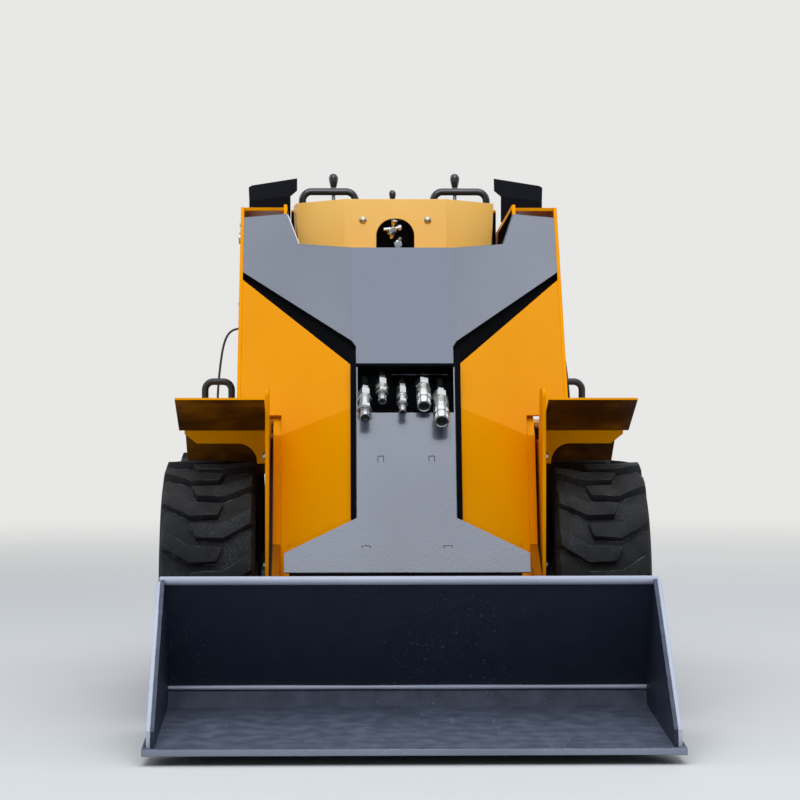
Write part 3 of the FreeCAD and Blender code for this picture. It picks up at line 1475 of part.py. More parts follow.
def flat_face(corners):
    return Part.Face(Part.makePolygon(list(corners) + [corners[0]]))


def flat_faces(a, b, c, d):
    """The side a, b, c, d as one face where it is flat, or else folded once."""
    normal = (b - a).cross(d - a)
    if abs(normal.dot(c - a)) < 0.001 * normal.Length:
        return [flat_face((a, b, c, d))]
    return [flat_face((a, b, c)), flat_face((a, c, d))]


def skinned(sections, closed):
    """A solid of flat faces through sections that have the same number of corners."""
    faces = []
    followers = sections[1:] + sections[:1] if closed else sections[1:]
    for section, following in zip(sections, followers):
        for index in range(len(section)):
            other = (index + 1) % len(section)
            faces += flat_faces(section[index], section[other], following[other], following[index])
    if not closed:
        for section in (sections[0], sections[-1]):
            faces += flat_faces(*section)
    shell = Part.makeShell(faces)
    shell.sewShape()
    solid = Part.makeSolid(shell)
    if solid.Volume < 0:
        solid.reverse()
    return solid


def lug(sign, first_turn):
    sections = []
    tread = dim.tread_half.number
    for share, out, start, end, root_share, root in lug_rows:
        x = sign * share * tread
        turns = (first_turn + start * lug_pitch, first_turn + end * lug_pitch)
        high, low = crown.number + out, crown.number + root
        sections.append((
            wheel_spot(x, high, turns[0]),
            wheel_spot(x, high, turns[1]),
            wheel_spot(x * root_share, low, turns[1]),
            wheel_spot(x * root_share, low, turns[0]),
        ))
    return skinned(sections, False)


profile = [(x.number, radius.number) for x, radius in carcass_rows]
profile += [(-x, radius) for x, radius in reversed(profile)]
carcass = skinned([[wheel_spot(x, radius, 2 * math.pi * step / tyre_sides) for x, radius in profile]
                   for step in range(tyre_sides)], True)
first_lug = math.pi / 2 - lug_rows[1][2] * lug_pitch
lugs = [lug(sign, first_lug + (number + shift) * lug_pitch)
        for sign, shift in ((-1, 0), (1, 0.5)) for number in range(lug_count)]
tyre_shape = carcass.fuse(lugs).removeSplitter()

# Wheels: a tyre and a dished rim at each corner
disc = dim.hub_reach + dim.seat_gap - dim.wheel_centre
for place_name, station in (("front", dim.axle_front), ("rear", dim.axle_rear)):
    for side, sign in SIDES:
        name = "%s_%s" % (place_name, side)
        tyre = shaped("tyre_" + name, tyre_shape)
        keep(place(tyre, sign * dim.wheel_centre, along(station), dim.axle_height))
        rim = wheel_turned("rim_" + name, (
            (sign * disc, 0),
            (sign * disc, 70),
            (sign * (disc + 18), 92),
            (sign * (disc + 18), dim.rim_radius - dim.rim_wall - 14),
            (-sign * (dim.rim_width / 2 - 2), dim.rim_radius - dim.rim_wall - 10),
            (-sign * (dim.rim_width / 2 - 2), dim.rim_radius),
            (sign * (dim.rim_width / 2 - 2), dim.rim_radius),
            (sign * (dim.rim_width / 2 - 2), dim.rim_radius - dim.rim_wall),
            (sign * (disc + 30), dim.rim_radius - dim.rim_wall - 8),
            (sign * (disc + 30), 88),
            (sign * (disc + 10), 66),
            (sign * (disc + 10), 0),
        ))
        keep(place(rim, sign * dim.wheel_centre, along(station), dim.axle_height))

doc.recompute()
faults = []
for thing in doc.Objects:
    if "Invalid" in thing.State or "Error" in thing.State:
        faults.append("%s is %s" % (thing.Label, thing.State))
for node in nodes:
    if node.Shape.isNull() or not node.Shape.isValid():
        faults.append("%s has no valid shape" % node.Label)
if faults:
    raise RuntimeError("; ".join(faults))
for node in nodes:
    node.Shape.exportStep("parts/%s.step" % node.Label)
    print("%-24s %2d solid %8.0f cm3" % (node.Label, len(node.Shape.Solids), node.Shape.Volume / 1000))
print(len(nodes), "nodes")
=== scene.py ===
import bmesh
import bpy
import math
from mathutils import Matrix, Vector


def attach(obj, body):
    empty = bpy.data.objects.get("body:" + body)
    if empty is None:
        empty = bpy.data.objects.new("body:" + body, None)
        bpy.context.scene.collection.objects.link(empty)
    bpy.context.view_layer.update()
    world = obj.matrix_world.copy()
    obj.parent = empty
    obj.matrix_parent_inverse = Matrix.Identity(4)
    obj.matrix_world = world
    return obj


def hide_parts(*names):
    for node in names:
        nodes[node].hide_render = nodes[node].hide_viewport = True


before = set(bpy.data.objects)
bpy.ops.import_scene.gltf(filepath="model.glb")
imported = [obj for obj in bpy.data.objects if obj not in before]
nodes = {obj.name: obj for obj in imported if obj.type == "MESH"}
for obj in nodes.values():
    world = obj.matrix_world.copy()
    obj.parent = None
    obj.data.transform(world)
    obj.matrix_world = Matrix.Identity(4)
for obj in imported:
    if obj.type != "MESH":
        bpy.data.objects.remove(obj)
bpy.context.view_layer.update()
bpy.context.scene.view_settings.view_transform = "Standard"

# Camera
# Straight ahead of the machine, a little to its left, at the height of the couplers, with a long lens
# as in the photograph.
camera_data = bpy.data.cameras.new("camera")
camera_data.lens = 130
camera_data.sensor_width = 36
camera = bpy.data.objects.new("camera", camera_data)
camera.location = (-0.175, -7.025, 0.81)
camera.rotation_euler = (math.radians(90 - 0.73), 0, math.radians(-1.43))
bpy.context.scene.collection.objects.link(camera)
bpy.context.scene.camera = camera

# Chassis sides
# Thick steel plates in the machine's yellow enamel: a deep, even colour with a faint orange peel,
# edges rubbed a little darker, and a trace of dust on what faces up. Zinc bolts hold them.


def linear(red, green, blue):
    """A colour as the eye reads it, 0 to 255, in the shader's own units."""
    parts = [value / 255 for value in (red, green, blue)]
    return tuple(v / 12.92 if v <= 0.04045 else ((v + 0.055) / 1.055) ** 2.4 for v in parts) + (1.0,)


def feed(tree, socket, value):
    """Puts a number, a colour or another node's output into a socket."""
    if isinstance(value, bpy.types.NodeSocket):
        tree.links.new(value, socket)
    else:
        socket.default_value = value


def sum_of(tree, operation, *values, clamp=False):
    """The output of a Math node."""
    node = tree.nodes.new("ShaderNodeMath")
    node.operation = operation
    node.use_clamp = clamp
    for socket, value in zip(node.inputs, values):
        feed(tree, socket, value)
    return node.outputs[0]


def blended(tree, factor, first, second):
    """The colour between two colours."""
    node = tree.nodes.new("ShaderNodeMix")
    node.data_type = "RGBA"
    for index, value in ((0, factor), (6, first), (7, second)):
        feed(tree, node.inputs[index], value)
    return node.outputs[2]


def step(tree, value, low, high, start=0.0, end=1.0):
    """Turns a value between low and high into a smooth step from start to end."""
    node = tree.nodes.new("ShaderNodeMapRange")
    node.interpolation_type = "SMOOTHSTEP"
    for index, number in enumerate((value, low, high, start, end)):
        feed(tree, node.inputs[index], number)
    return node.outputs[0]


def grain(tree, scale, detail=2.0, stretch=(1, 1, 1), turn=(0, 0, 0)):
    """Noise on the piece's own coordinates, finer along an axis that is stretched."""
    place = tree.nodes.new("ShaderNodeTexCoord")
    mapping = tree.nodes.new("ShaderNodeMapping")
    mapping.inputs["Scale"].default_value = stretch
    mapping.inputs["Rotation"].default_value = turn
    tree.links.new(place.outputs["Object"], mapping.inputs["Vector"])
    noise = tree.nodes.new("ShaderNodeTexNoise")
    noise.inputs["Scale"].default_value = scale
    noise.inputs["Detail"].default_value = detail
    tree.links.new(mapping.outputs["Vector"], noise.inputs["Vector"])
    return noise.outputs["Fac"]


def new_group(name, takes, gives):
    """A shader node group with named sockets, and its two end nodes."""
    group = bpy.data.node_groups.new(name, "ShaderNodeTree")
    for label, kind, value in takes:
        group.interface.new_socket(label, in_out="INPUT", socket_type=kind).default_value = value
    for label, kind in gives:
        group.interface.new_socket(label, in_out="OUTPUT", socket_type=kind)
    return group, group.nodes.new("NodeGroupInput").outputs, group.nodes.new("NodeGroupOutput").inputs


FLOAT, COLOUR, VECTOR = "NodeSocketFloat", "NodeSocketColor", "NodeSocketVector"

# Rounded edges: the normal of an edge broken by the folding press, and a mask of where it is
soft_edge, take, give = new_group("soft_edge", [("Radius", FLOAT, 0.002)],
                                  [("Normal", VECTOR), ("Edge", FLOAT)])
bevel = soft_edge.nodes.new("ShaderNodeBevel")
bevel.samples = 6
feed(soft_edge, bevel.inputs["Radius"], take["Radius"])
surface = soft_edge.nodes.new("ShaderNodeNewGeometry")
dot = soft_edge.nodes.new("ShaderNodeVectorMath")
dot.operation = "DOT_PRODUCT"
feed(soft_edge, dot.inputs[0], bevel.outputs["Normal"])
feed(soft_edge, dot.inputs[1], surface.outputs["Normal"])
feed(soft_edge, give["Normal"], bevel.outputs["Normal"])
feed(soft_edge, give["Edge"], step(soft_edge, dot.outputs["Value"], 0.995, 0.86))

# Dust: it lies on what faces up, in small patches, and thinly everywhere
dusting, take, give = new_group("dusting", [
    ("Color", COLOUR, (0.5, 0.5, 0.5, 1)), ("Dust", COLOUR, linear(132, 128, 122)), ("Amount", FLOAT, 0.3),
    ("Roughness", FLOAT, 0.3)], [("Color", COLOUR), ("Roughness", FLOAT)])
surface = dusting.nodes.new("ShaderNodeNewGeometry")
split = dusting.nodes.new("ShaderNodeSeparateXYZ")
feed(dusting, split.inputs[0], surface.outputs["Normal"])
upward = step(dusting, split.outputs["Z"], 0.3, 1.0, 0.1, 1.0)
patches = sum_of(dusting, "MULTIPLY", step(dusting, grain(dusting, 23, 8), 0.3, 0.75, 0.5, 1.0), upward)
settled = sum_of(dusting, "MULTIPLY", patches, take["Amount"], clamp=True)
feed(dusting, give["Color"], blended(dusting, settled, take["Color"], take["Dust"]))
feed(dusting, give["Roughness"], sum_of(dusting, "MULTIPLY_ADD", settled, 0.6, take["Roughness"]))

# Tone: the faint cloudiness of sprayed paint and rolled steel
clouding, take, give = new_group("clouding", [
    ("Color", COLOUR, (0.5, 0.5, 0.5, 1)), ("Darker", COLOUR, (0.4, 0.4, 0.4, 1)), ("Amount", FLOAT, 0.5)],
    [("Color", COLOUR), ("Mask", FLOAT)])
cloud = step(clouding, grain(clouding, 3.1, 5), 0.3, 0.7)
feed(clouding, give["Mask"], cloud)
feed(clouding, give["Color"], blended(clouding, sum_of(clouding, "MULTIPLY", cloud, take["Amount"]),
                                      take["Color"], take["Darker"]))

# Scratches: fine broken lines along three directions
scratching, take, give = new_group("scratching", [("Amount", FLOAT, 0.5)], [("Mask", FLOAT)])
lines = None
for turn, stretch in ((0.2, (55, 1.2, 55)), (-0.5, (60, 1.6, 60)), (1.4, (70, 2.2, 70))):
    fine = step(scratching, grain(scratching, 3.0, 3, stretch, (0, 0, turn)), 0.66, 0.74)
    lines = fine if lines is None else sum_of(scratching, "MAXIMUM", lines, fine)
where = step(scratching, grain(scratching, 4.3, 4), 0.42, 0.62)
feed(scratching, give["Mask"], sum_of(scratching, "MULTIPLY", sum_of(scratching, "MULTIPLY", lines, where),
                                      take["Amount"], clamp=True))


def placed(tree, group, **values):
    """A group put into a material, with its values."""
    node = tree.nodes.new("ShaderNodeGroup")
    node.node_tree = group
    for name, value in values.items():
        feed(tree, node.inputs[name], value)
    return node.outputs


PEEL_HEIGHT = 0.0006


def coated(name, colour, darker, worn, roughness=0.3, coat=0.4, dust=0.3, scratch=0.0, peel=0.25,
           peel_scale=230, wear=0.6, radius=0.002, metallic=0.0, coat_roughness=0.06, shine=0.5,
           tint=(1, 1, 1, 1), dust_colour=(132, 128, 122)):
    """A coat or bare metal with clouding, rubbed edges, scratches, dust and a fine peel."""
    colour, darker, worn, dust_colour = [linear(*shade) for shade in (colour, darker, worn, dust_colour)]
    material = bpy.data.materials.new(name)
    material.use_nodes = True
    tree = material.node_tree
    shader = tree.nodes["Principled BSDF"]
    edges = placed(tree, soft_edge, Radius=radius)
    cloudy = placed(tree, clouding, Color=colour, Darker=darker, Amount=0.6)
    rubbed = sum_of(tree, "MULTIPLY", edges["Edge"], step(tree, grain(tree, 38, 4), 0.45, 0.68, 0.0, wear))
    if scratch:
        rubbed = sum_of(tree, "MAXIMUM", rubbed, placed(tree, scratching, Amount=scratch)["Mask"])
    skin = blended(tree, rubbed, cloudy["Color"], worn)
    mottled = sum_of(tree, "MULTIPLY_ADD", cloudy["Mask"], 0.08, roughness)
    dusty = placed(tree, dusting, Color=skin, Dust=dust_colour, Amount=dust, Roughness=mottled)
    bump = tree.nodes.new("ShaderNodeBump")
    bump.inputs["Strength"].default_value = peel
    bump.inputs["Distance"].default_value = PEEL_HEIGHT
    feed(tree, bump.inputs["Height"], grain(tree, peel_scale, 1))
    feed(tree, bump.inputs["Normal"], edges["Normal"])
    feed(tree, shader.inputs["Base Color"], dusty["Color"])
    feed(tree, shader.inputs["Roughness"], dusty["Roughness"])
    feed(tree, shader.inputs["Normal"], bump.outputs["Normal"])
    shader.inputs["Metallic"].default_value = metallic
    shader.inputs["Specular IOR Level"].default_value = shine
    shader.inputs["Specular Tint"].default_value = tint
    shader.inputs["Coat Weight"].default_value = coat
    shader.inputs["Coat Roughness"].default_value = coat_roughness
    return material


def dress(material, *names):
    """Gives CAD nodes a material."""
    for name in names:
        nodes[name].data.materials.clear()
        nodes[name].data.materials.append(material)


machine_yellow = coated("machine_yellow", (230, 149, 0), (222, 140, 0), (150, 92, 20),
                        roughness=0.3, coat=0.0, dust=0.05, shine=0.05, tint=(1.0, 0.5, 0.03, 1),
                        dust_colour=(176, 128, 30))
dress(machine_yellow, "chassis_side_left", "chassis_side_right")

SIDES = (("left", -1), ("right", 1))
ACROSS, BACK, UP = Vector((1, 0, 0)), Vector((0, 1, 0)), Vector((0, 0, 1))
HALF_LENGTH = 1.225
SIDE_FACE, ARM_FACE = 316, 388


def spot(x, station, z):
    """A place from millimetres across, back from the cutting edge, and up."""
    return Vector((x / 1000, station / 1000 - HALF_LENGTH, z / 1000))


def turned(mesh, rows, place, axis, steps=32):
    """Adds a turned shape; rows are millimetres along its axis and from it."""
    axis = Vector(axis).normalized()
    side = axis.orthogonal().normalized()
    points = [mesh.verts.new(place + (axis * along + side * out) / 1000) for along, out in rows]
    edges = [mesh.edges.new(pair) for pair in zip(points, points[1:])]
    bmesh.ops.spin(mesh, geom=points + edges, cent=place, axis=axis, angle=2 * math.pi, steps=steps,
                   use_merge=True)


def pulled_out(mesh, face):
    """Extrudes a face and returns the new vertices, which still lie on the old ones."""
    made_up = bmesh.ops.extrude_face_region(mesh, geom=[face], use_keep_orig=True)["geom"]
    return [item for item in made_up if isinstance(item, bmesh.types.BMVert)]


def slab(mesh, corners, push, rounding=0.0, segments=2):
    """Adds a plate: a face through the corners, pushed out; with a rounding, all its edges are rounded."""
    face = mesh.faces.new([mesh.verts.new(corner) for corner in corners])
    bottom = list(face.edges)
    moved = pulled_out(mesh, face)
    bmesh.ops.translate(mesh, verts=moved, vec=Vector(push))
    if rounding:
        edges = set(bottom)
        for vertex in moved:
            edges.update(vertex.link_edges)
        bmesh.ops.bevel(mesh, geom=list(edges), offset=rounding / 1000, segments=segments, profile=0.5,
                        affect="EDGES", material=-1)


def bolt(mesh, place, axis, size=8, round_head=False):
    """Adds a bolt head on its washer; size is the thread in millimetres."""
    turned(mesh, ((-1, 0), (-1, size * 1.1), (1.2, size * 1.1), (1.8, size), (1.8, 0)), place, axis, 24)
    if round_head:
        dome = [(1 + size * 0.62 * math.sin(turn), size * 0.95 * math.cos(turn))
                for turn in (0, 0.3, 0.6, 0.9, 1.2, math.pi / 2)]
        turned(mesh, [(1, 0)] + dome, place, axis, 24)
    else:
        turned(mesh, ((1.5, 0), (1.5, size * 0.94), (size * 0.6, size * 0.94), (size * 0.72, size * 0.8),
                      (size * 0.72, 0)), place, axis, 6)


def bead(mesh, start, end, radius=4.0, pitch=5.0):
    """Adds a weld: a rope of overlapping ripples between two places."""
    length = (end - start).length * 1000
    count = max(2, round(length * 2 / pitch))
    ripples = [(length * number / count, radius * (1.0 if number % 2 else 0.82))
               for number in range(count + 1)]
    turned(mesh, ripples, start, end - start, 8)


def made(name, mesh, body, slot, *finishes, smooth=35):
    """Turns the mesh into a piece that rides on a body."""
    bmesh.ops.remove_doubles(mesh, verts=mesh.verts, dist=0.00001)
    bmesh.ops.recalc_face_normals(mesh, faces=mesh.faces)
    data = bpy.data.meshes.new(name)
    mesh.to_mesh(data)
    mesh.free()
    data.shade_smooth()
    data.set_sharp_from_angle(angle=math.radians(smooth))
    for finish in finishes:
        data.materials.append(finish)
    piece = bpy.data.objects.new(name, data)
    bpy.context.scene.collection.objects.link(piece)
    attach(piece, body)
    return piece


bright_zinc = coated("bright_zinc", (196, 196, 190), (160, 158, 148), (220, 220, 216),
                     roughness=0.26, coat=0.0, dust=0.1, peel=0.12, metallic=1.0, radius=0.0008)
mesh = bmesh.new()
for side, sign in SIDES:
    for station, z in ((712, 601), (712, 352), (1270, 250), (1900, 610), (1960, 470), (1960, 300)):
        bolt(mesh, spot(sign * SIDE_FACE, station, z), ACROSS * sign, 8)
made("chassis_bolts", mesh, "chassis", "zinc_steel", bright_zinc)

# Belly pan, deck and crossbeam
# Folded sheet and a box section, welded together and painted a satin black before the yellow
# pieces go on. Stone chips and dust collect on them, and the weld runs along both sides.
frame_black = coated("frame_black", (30, 31, 35), (24, 25, 28), (86, 84, 82), roughness=0.42,
                     coat=0.1, dust=0.25)
dress(frame_black, "belly_pan", "deck", "rear_crossbeam", "drive_hubs")
mesh = bmesh.new()
for side, sign in SIDES:
    bead(mesh, spot(sign * SIDE_FACE, 1932, 560), spot(sign * SIDE_FACE, 1932, 630), 4)
    bead(mesh, spot(sign * 318, 1932, 559), spot(sign * 318, 2058, 559), 4)
    for station in (1955, 2000, 2040):
        bolt(mesh, spot(sign * 374, station, 600), ACROSS * sign, 8)
made("crossbeam_welds", mesh, "chassis", "frame_paint", frame_black)

# Engine block
# Cast iron with an oily film, a plain block without parts of its own. It is seen only through the
# gap over the deck and through the slots of the hood.
cast_iron = coated("cast_iron", (52, 52, 54), (38, 37, 36), (104, 98, 88), roughness=0.62,
                   coat=0.0, dust=0.5, peel=0.6, peel_scale=420)
dress(cast_iron, "engine_block")

# Tyres
# Rubber tyres for loose ground. Every lug starts broad at the shoulder, drops and then crosses the
# middle, and the two rows fit into each other. The edges of the lugs are painted a pale grey in
# patches: part dust, part painted highlight.
tyre_rubber = coated("tyre_rubber", (14, 15, 18), (11, 12, 14), (118, 118, 120), roughness=0.7,
                     coat=0.0, dust=0.15, peel=0.9, peel_scale=340, radius=0.0025, wear=1.0, shine=0.3,
                     scratch=0.4)
tree = tyre_rubber.node_tree
shader = tree.nodes["Principled BSDF"]
scuffed = step(tree, grain(tree, 330, 5), 0.4, 0.75, 0.0, 0.5)
scuffed = sum_of(tree, "MULTIPLY", scuffed, step(tree, grain(tree, 17, 6), 0.45, 0.62, 0.1, 1.0))
clean = shader.inputs["Base Color"].links[0].from_socket
feed(tree, shader.inputs["Base Color"], blended(tree, scuffed, clean, linear(78, 78, 82)))
LUG_COUNT = 16
CROWN = 272
WHEELS = [("%s_%s" % (end, side), sign, spot(sign * 447, station, 292))
          for end, station in (("front", 920), ("rear", 1620)) for side, sign in SIDES]
half_profile = [(0, 273), (60, 272.5), (92, 271), (99, 268), (103, 261), (105, 250), (107, 247), (106, 243),
                (108, 230), (109, 216), (108, 200), (105, 186), (107, 183), (106, 179), (102, 170), (99, 165),
                (98, 160), (93, 155.5), (89, 152.7)]
LUG_ROWS = (
    # across, height over the crown, start and end as shares of the pitch, across and height at the
    # root, and how much further the upper edge reaches across
    (106.5, -20, 0.08, 0.29, 103, -44, 0),
    (103, 4, 0.02, 0.35, 100, -26, 0),
    (98, 17, 0.00, 0.37, 95, -11, 0),
    (67, 19, 0.18, 0.55, 66, -10, 0),
    (38, 20, 0.35, 0.715, 38, -9, 0),
    (6, 20, 0.366, 0.70, 6, -9, 3),
    (-24, 20, 0.38, 0.685, -24, -9, 13),
)


def wheel_spot(x, radius, turn):
    """A place on a wheel in metres; turn runs from the front downwards."""
    return Vector((x, -radius * math.cos(turn), -radius * math.sin(turn))) / 1000


def lug(mesh, sign, first):
    """Adds one lug as a chain of four-cornered sections, with its outer edges rounded."""
    pitch = 2 * math.pi / LUG_COUNT
    rings = []
    for x, out, start, end, foot_x, foot, reach in LUG_ROWS:
        turns = (first + start * pitch, first + end * pitch)
        spread = 0.012 * pitch
        rings.append([mesh.verts.new(corner) for corner in (
            wheel_spot(sign * (x - reach), CROWN + out, turns[0] + spread),
            wheel_spot(sign * x, CROWN + out, turns[1] - spread),
            wheel_spot(sign * foot_x, CROWN + foot, turns[1] + spread * 2),
            wheel_spot(sign * (foot_x - reach), CROWN + foot, turns[0] - spread * 2))])
    for ring, following in zip(rings, rings[1:]):
        for k in range(4):
            mesh.faces.new((ring[k], ring[(k + 1) % 4], following[(k + 1) % 4], following[k]))
    mesh.faces.new(rings[0])
    mesh.faces.new(rings[-1])
    edges = [mesh.edges.get((ring[k], following[k]))
             for ring, following in zip(rings, rings[1:]) for k in (0, 1)]
    edges += [mesh.edges.get(pair) for ring in (rings[0], rings[-1])
              for pair in ((ring[0], ring[1]), (ring[0], ring[3]), (ring[1], ring[2]))]
    bmesh.ops.bevel(mesh, geom=edges, offset=0.002, segments=2, profile=0.5, affect="EDGES", material=-1)


for name, sign, middle in WHEELS:
    mesh = bmesh.new()
    profile = [(-x, radius) for x, radius in reversed(half_profile[1:])] + half_profile
    turned(mesh, profile, Vector(), ACROSS, 96)
    first_lug = math.pi / 2 - 0.35 * 2 * math.pi / LUG_COUNT
    for side, half in ((-1, 0), (1, 0.5)):
        for number in range(LUG_COUNT):
            lug(mesh, side, first_lug + (number + half) * 2 * math.pi / LUG_COUNT)
    bmesh.ops.translate(mesh, verts=mesh.verts, vec=middle)
    tyre = made("tyre_with_lugs_" + name, mesh, "wheel_" + name, "tyre_rubber", tyre_rubber, smooth=32)
    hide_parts("tyre_" + name)

# Rims
# Pressed and painted steel rims. Each one is held by six zinc nuts round a zinc cap, and has a rubber
# valve beside its disc.
valve_rubber = coated("valve_rubber", (24, 24, 26), (18, 18, 20), (52, 52, 52), roughness=0.6,
                      coat=0.0, dust=0.2, peel=0.4, peel_scale=700)
for name, sign, middle in WHEELS:
    dress(machine_yellow, "rim_" + name)
    outward = ACROSS * sign
    face = middle - outward * 0.0367
    mesh = bmesh.new()
    for number in range(6):
        turn = number * math.pi / 3
        place = face + wheel_spot(0, 50, turn)
        turned(mesh, ((-1, 0), (-1, 13), (1.5, 13), (2.5, 11.5), (2.5, 0)), place, outward, 24)
        turned(mesh, ((2, 0), (2, 10.5), (14, 10.5), (16, 8.5), (16, 6), (12, 6)), place, outward, 6)
        turned(mesh, ((12, 0), (20, 0), (20, 5), (19, 6), (10, 6)), place, outward, 16)
    turned(mesh, ((-1, 0), (-1, 30), (10, 30), (14, 27), (17, 20), (18, 0)), face, outward, 32)
    made("wheel_nuts_" + name, mesh, "wheel_" + name, "zinc_steel", bright_zinc)
    mesh = bmesh.new()
    place = middle - outward * 0.018 + wheel_spot(0, 116, 0.5)
    turned(mesh, ((-6, 0), (-6, 9), (3, 8), (10, 5), (24, 4.2), (24, 0)), place, outward, 20)
    turned(mesh, ((24, 0), (24, 3), (36, 3), (37, 2), (37, 0)), place, outward, 12)
    made("valve_" + name, mesh, "wheel_" + name, "tyre_rubber", valve_rubber)

# Fenders, hood, towers and rear panel
# Folded yellow sheet. Round-headed bolts hold the fenders to the chassis sides and the hood to the
# deck; the rear panel hangs on two hinges and is shut by a quarter-turn latch.
# The console front gets its own paler, less saturated copy of the yellow with a coat: painted sheen for the
# sky reflected on it.
console_sheen_yellow = coated("console_sheen_yellow", (252, 208, 112), (248, 200, 98), (190, 136, 60),
                        roughness=0.36, coat=0.5, dust=0.05)
dress(machine_yellow, "hood", "tower_left", "tower_right", "rear_panel")
dress(console_sheen_yellow, "console_front")
fender_yellow = machine_yellow.copy()
fender_yellow.name = "fender_yellow"
tree = fender_yellow.node_tree
shader = tree.nodes["Principled BSDF"]
# Down-facing faces of the fenders are painted dark brown in patches: painted shade for the shadow beneath
# them.
surface = tree.nodes.new("ShaderNodeNewGeometry")
split = tree.nodes.new("ShaderNodeSeparateXYZ")
feed(tree, split.inputs[0], surface.outputs["Normal"])
underside_shade_patches = step(tree, grain(tree, 9, 5), 0.2, 0.6, 0.75)
painted_underside_shade = sum_of(tree, "MULTIPLY", step(tree, split.outputs["Z"], -0.15, -0.4), underside_shade_patches)
clean = shader.inputs["Base Color"].links[0].from_socket
feed(tree, shader.inputs["Base Color"], blended(tree, painted_underside_shade, clean, linear(62, 30, 4)))
dress(fender_yellow, "fender_left", "fender_right")
mesh = bmesh.new()
for side, sign in SIDES:
    for station in (850, 1000, 1540, 1680, 1830):
        bolt(mesh, spot(sign * 336, station, 661), UP, 7, True)
    for station in (1240, 1400, 1560):
        bolt(mesh, spot(sign * 256, station, 650), ACROSS * sign, 6, True)
    for x, z in ((236, 650), (236, 990)):
        bolt(mesh, spot(sign * x, 2046, z), BACK, 6, True)
made("sheet_bolts", mesh, "chassis", "zinc_steel", bright_zinc)


def upright(left, right, station, low, high):
    """The corners of an upright plate that lies across the machine, in millimetres."""
    return [spot(left, station, low), spot(right, station, low), spot(right, station, high),
            spot(left, station, high)]


mesh = bmesh.new()
for z in (730, 930):
    turned(mesh, ((-26, 0), (-26, 5), (-9, 5), (-8, 4), (-7, 5), (7, 5), (8, 4), (9, 5), (26, 5), (26, 0)),
           spot(-247, 2050, z), UP, 20)
    slab(mesh, upright(-246, -214, 2045.5, z - 24, z + 24), BACK * 0.003, 1)
turned(mesh, ((-1, 0), (-1, 17), (2, 17), (5, 14), (5, 9), (3, 8), (3, 0)), spot(228, 2046, 870), BACK, 32)
slab(mesh, upright(218, 238, 2049, 867, 873), BACK * 0.006, 1.2)
made("rear_hinges_and_latch", mesh, "chassis", "frame_paint", frame_black)

# Console housing
# A folded box behind the console front, in satin black. Through the arch shows a valve with bright
# fittings on a block and plate in a flat near-black, painted shade for the deep arch; two zinc round
# heads hold the front plate.
dress(frame_black, "console_housing")
mesh = bmesh.new()
for x in (-84, 84):
    bolt(mesh, spot(x, 1700, 1181), -BACK, 8.5, True)
made("console_bolts", mesh, "chassis", "zinc_steel", bright_zinc)
chrome = coated("chrome", (214, 216, 220), (196, 198, 204), (232, 232, 232), roughness=0.1,
                coat=0.0, dust=0.0, peel=0.05, metallic=1.0, radius=0.0006)
mesh = bmesh.new()
turned(mesh, ((0, 0), (0, 9), (10, 9), (11, 7), (24, 7), (25, 10), (32, 10), (33, 0)), spot(-14, 1742, 1152),
       (0.25, -1, 0), 20)
turned(mesh, ((-24, 0), (-24, 6), (-12, 6), (-11, 9), (-2, 9), (0, 5.5), (14, 5.5), (15, 9), (24, 9),
              (25, 0)), spot(-6, 1724, 1158), (0.15, -0.3, 1), 6)
turned(mesh, ((-20, 0), (-20, 5), (18, 5), (18, 8), (26, 8), (27, 0)), spot(-10, 1726, 1160),
       (1, 0.1, 0.12), 20)
turned(mesh, ((0, 0), (0, 8), (12, 8), (12, 11), (19, 11), (20, 0)), spot(8, 1744, 1118), (0, -1, 0.1), 6)
turned(mesh, ((-14, 0), (-14, 5), (10, 5), (10, 7), (18, 7), (19, 0)), spot(9, 1730, 1120), (0.3, 0, 1), 20)
made("console_fittings", mesh, "chassis", "chrome_rod", chrome)
mesh = bmesh.new()
slab(mesh, upright(-47, 47, 1744, 1060, 1182), BACK * 0.004, 1)
slab(mesh, upright(-30, 28, 1728, 1080, 1112), BACK * 0.016, 4)
slab(mesh, upright(16, 38, 1736, 1118, 1166), BACK * 0.008, 3)
# A flat near-black without gloss, painted shade for hollows and faces that lie in shadow.
painted_shade_black = coated("painted_shade_black", (12, 13, 15), (9, 10, 12), (40, 40, 42), roughness=0.55,
                     coat=0.0, dust=0.05, peel=0.3, shine=0.0)
made("console_valve_block", mesh, "chassis", "frame_paint", painted_shade_black)
# Near-black sheets in the gaps between the console and the arm: painted shade for those gaps. A yellow strip
# along the top of each stands for the arm's top edge.
mesh = bmesh.new()
for side, sign in SIDES:
    slab(mesh, [spot(sign * 230, 1893, 1003), spot(sign * 272.5, 1893, 1003), spot(sign * 272.5, 1893, 1216),
                spot(sign * 230, 1893, 1222)], BACK * 0.003, 1)
made("console_side_shade_sheets", mesh, "chassis", "grip_rubber", painted_shade_black)
mesh = bmesh.new()
for side, sign in SIDES:
    slab(mesh, [spot(sign * 230, 1890.5, 1217), spot(sign * 272.5, 1890.5, 1211),
                spot(sign * 272.5, 1890.5, 1217), spot(sign * 230, 1890.5, 1223)], BACK * 0.008, 1)
made("console_shade_sheet_strips", mesh, "chassis", "machine_paint", machine_yellow)

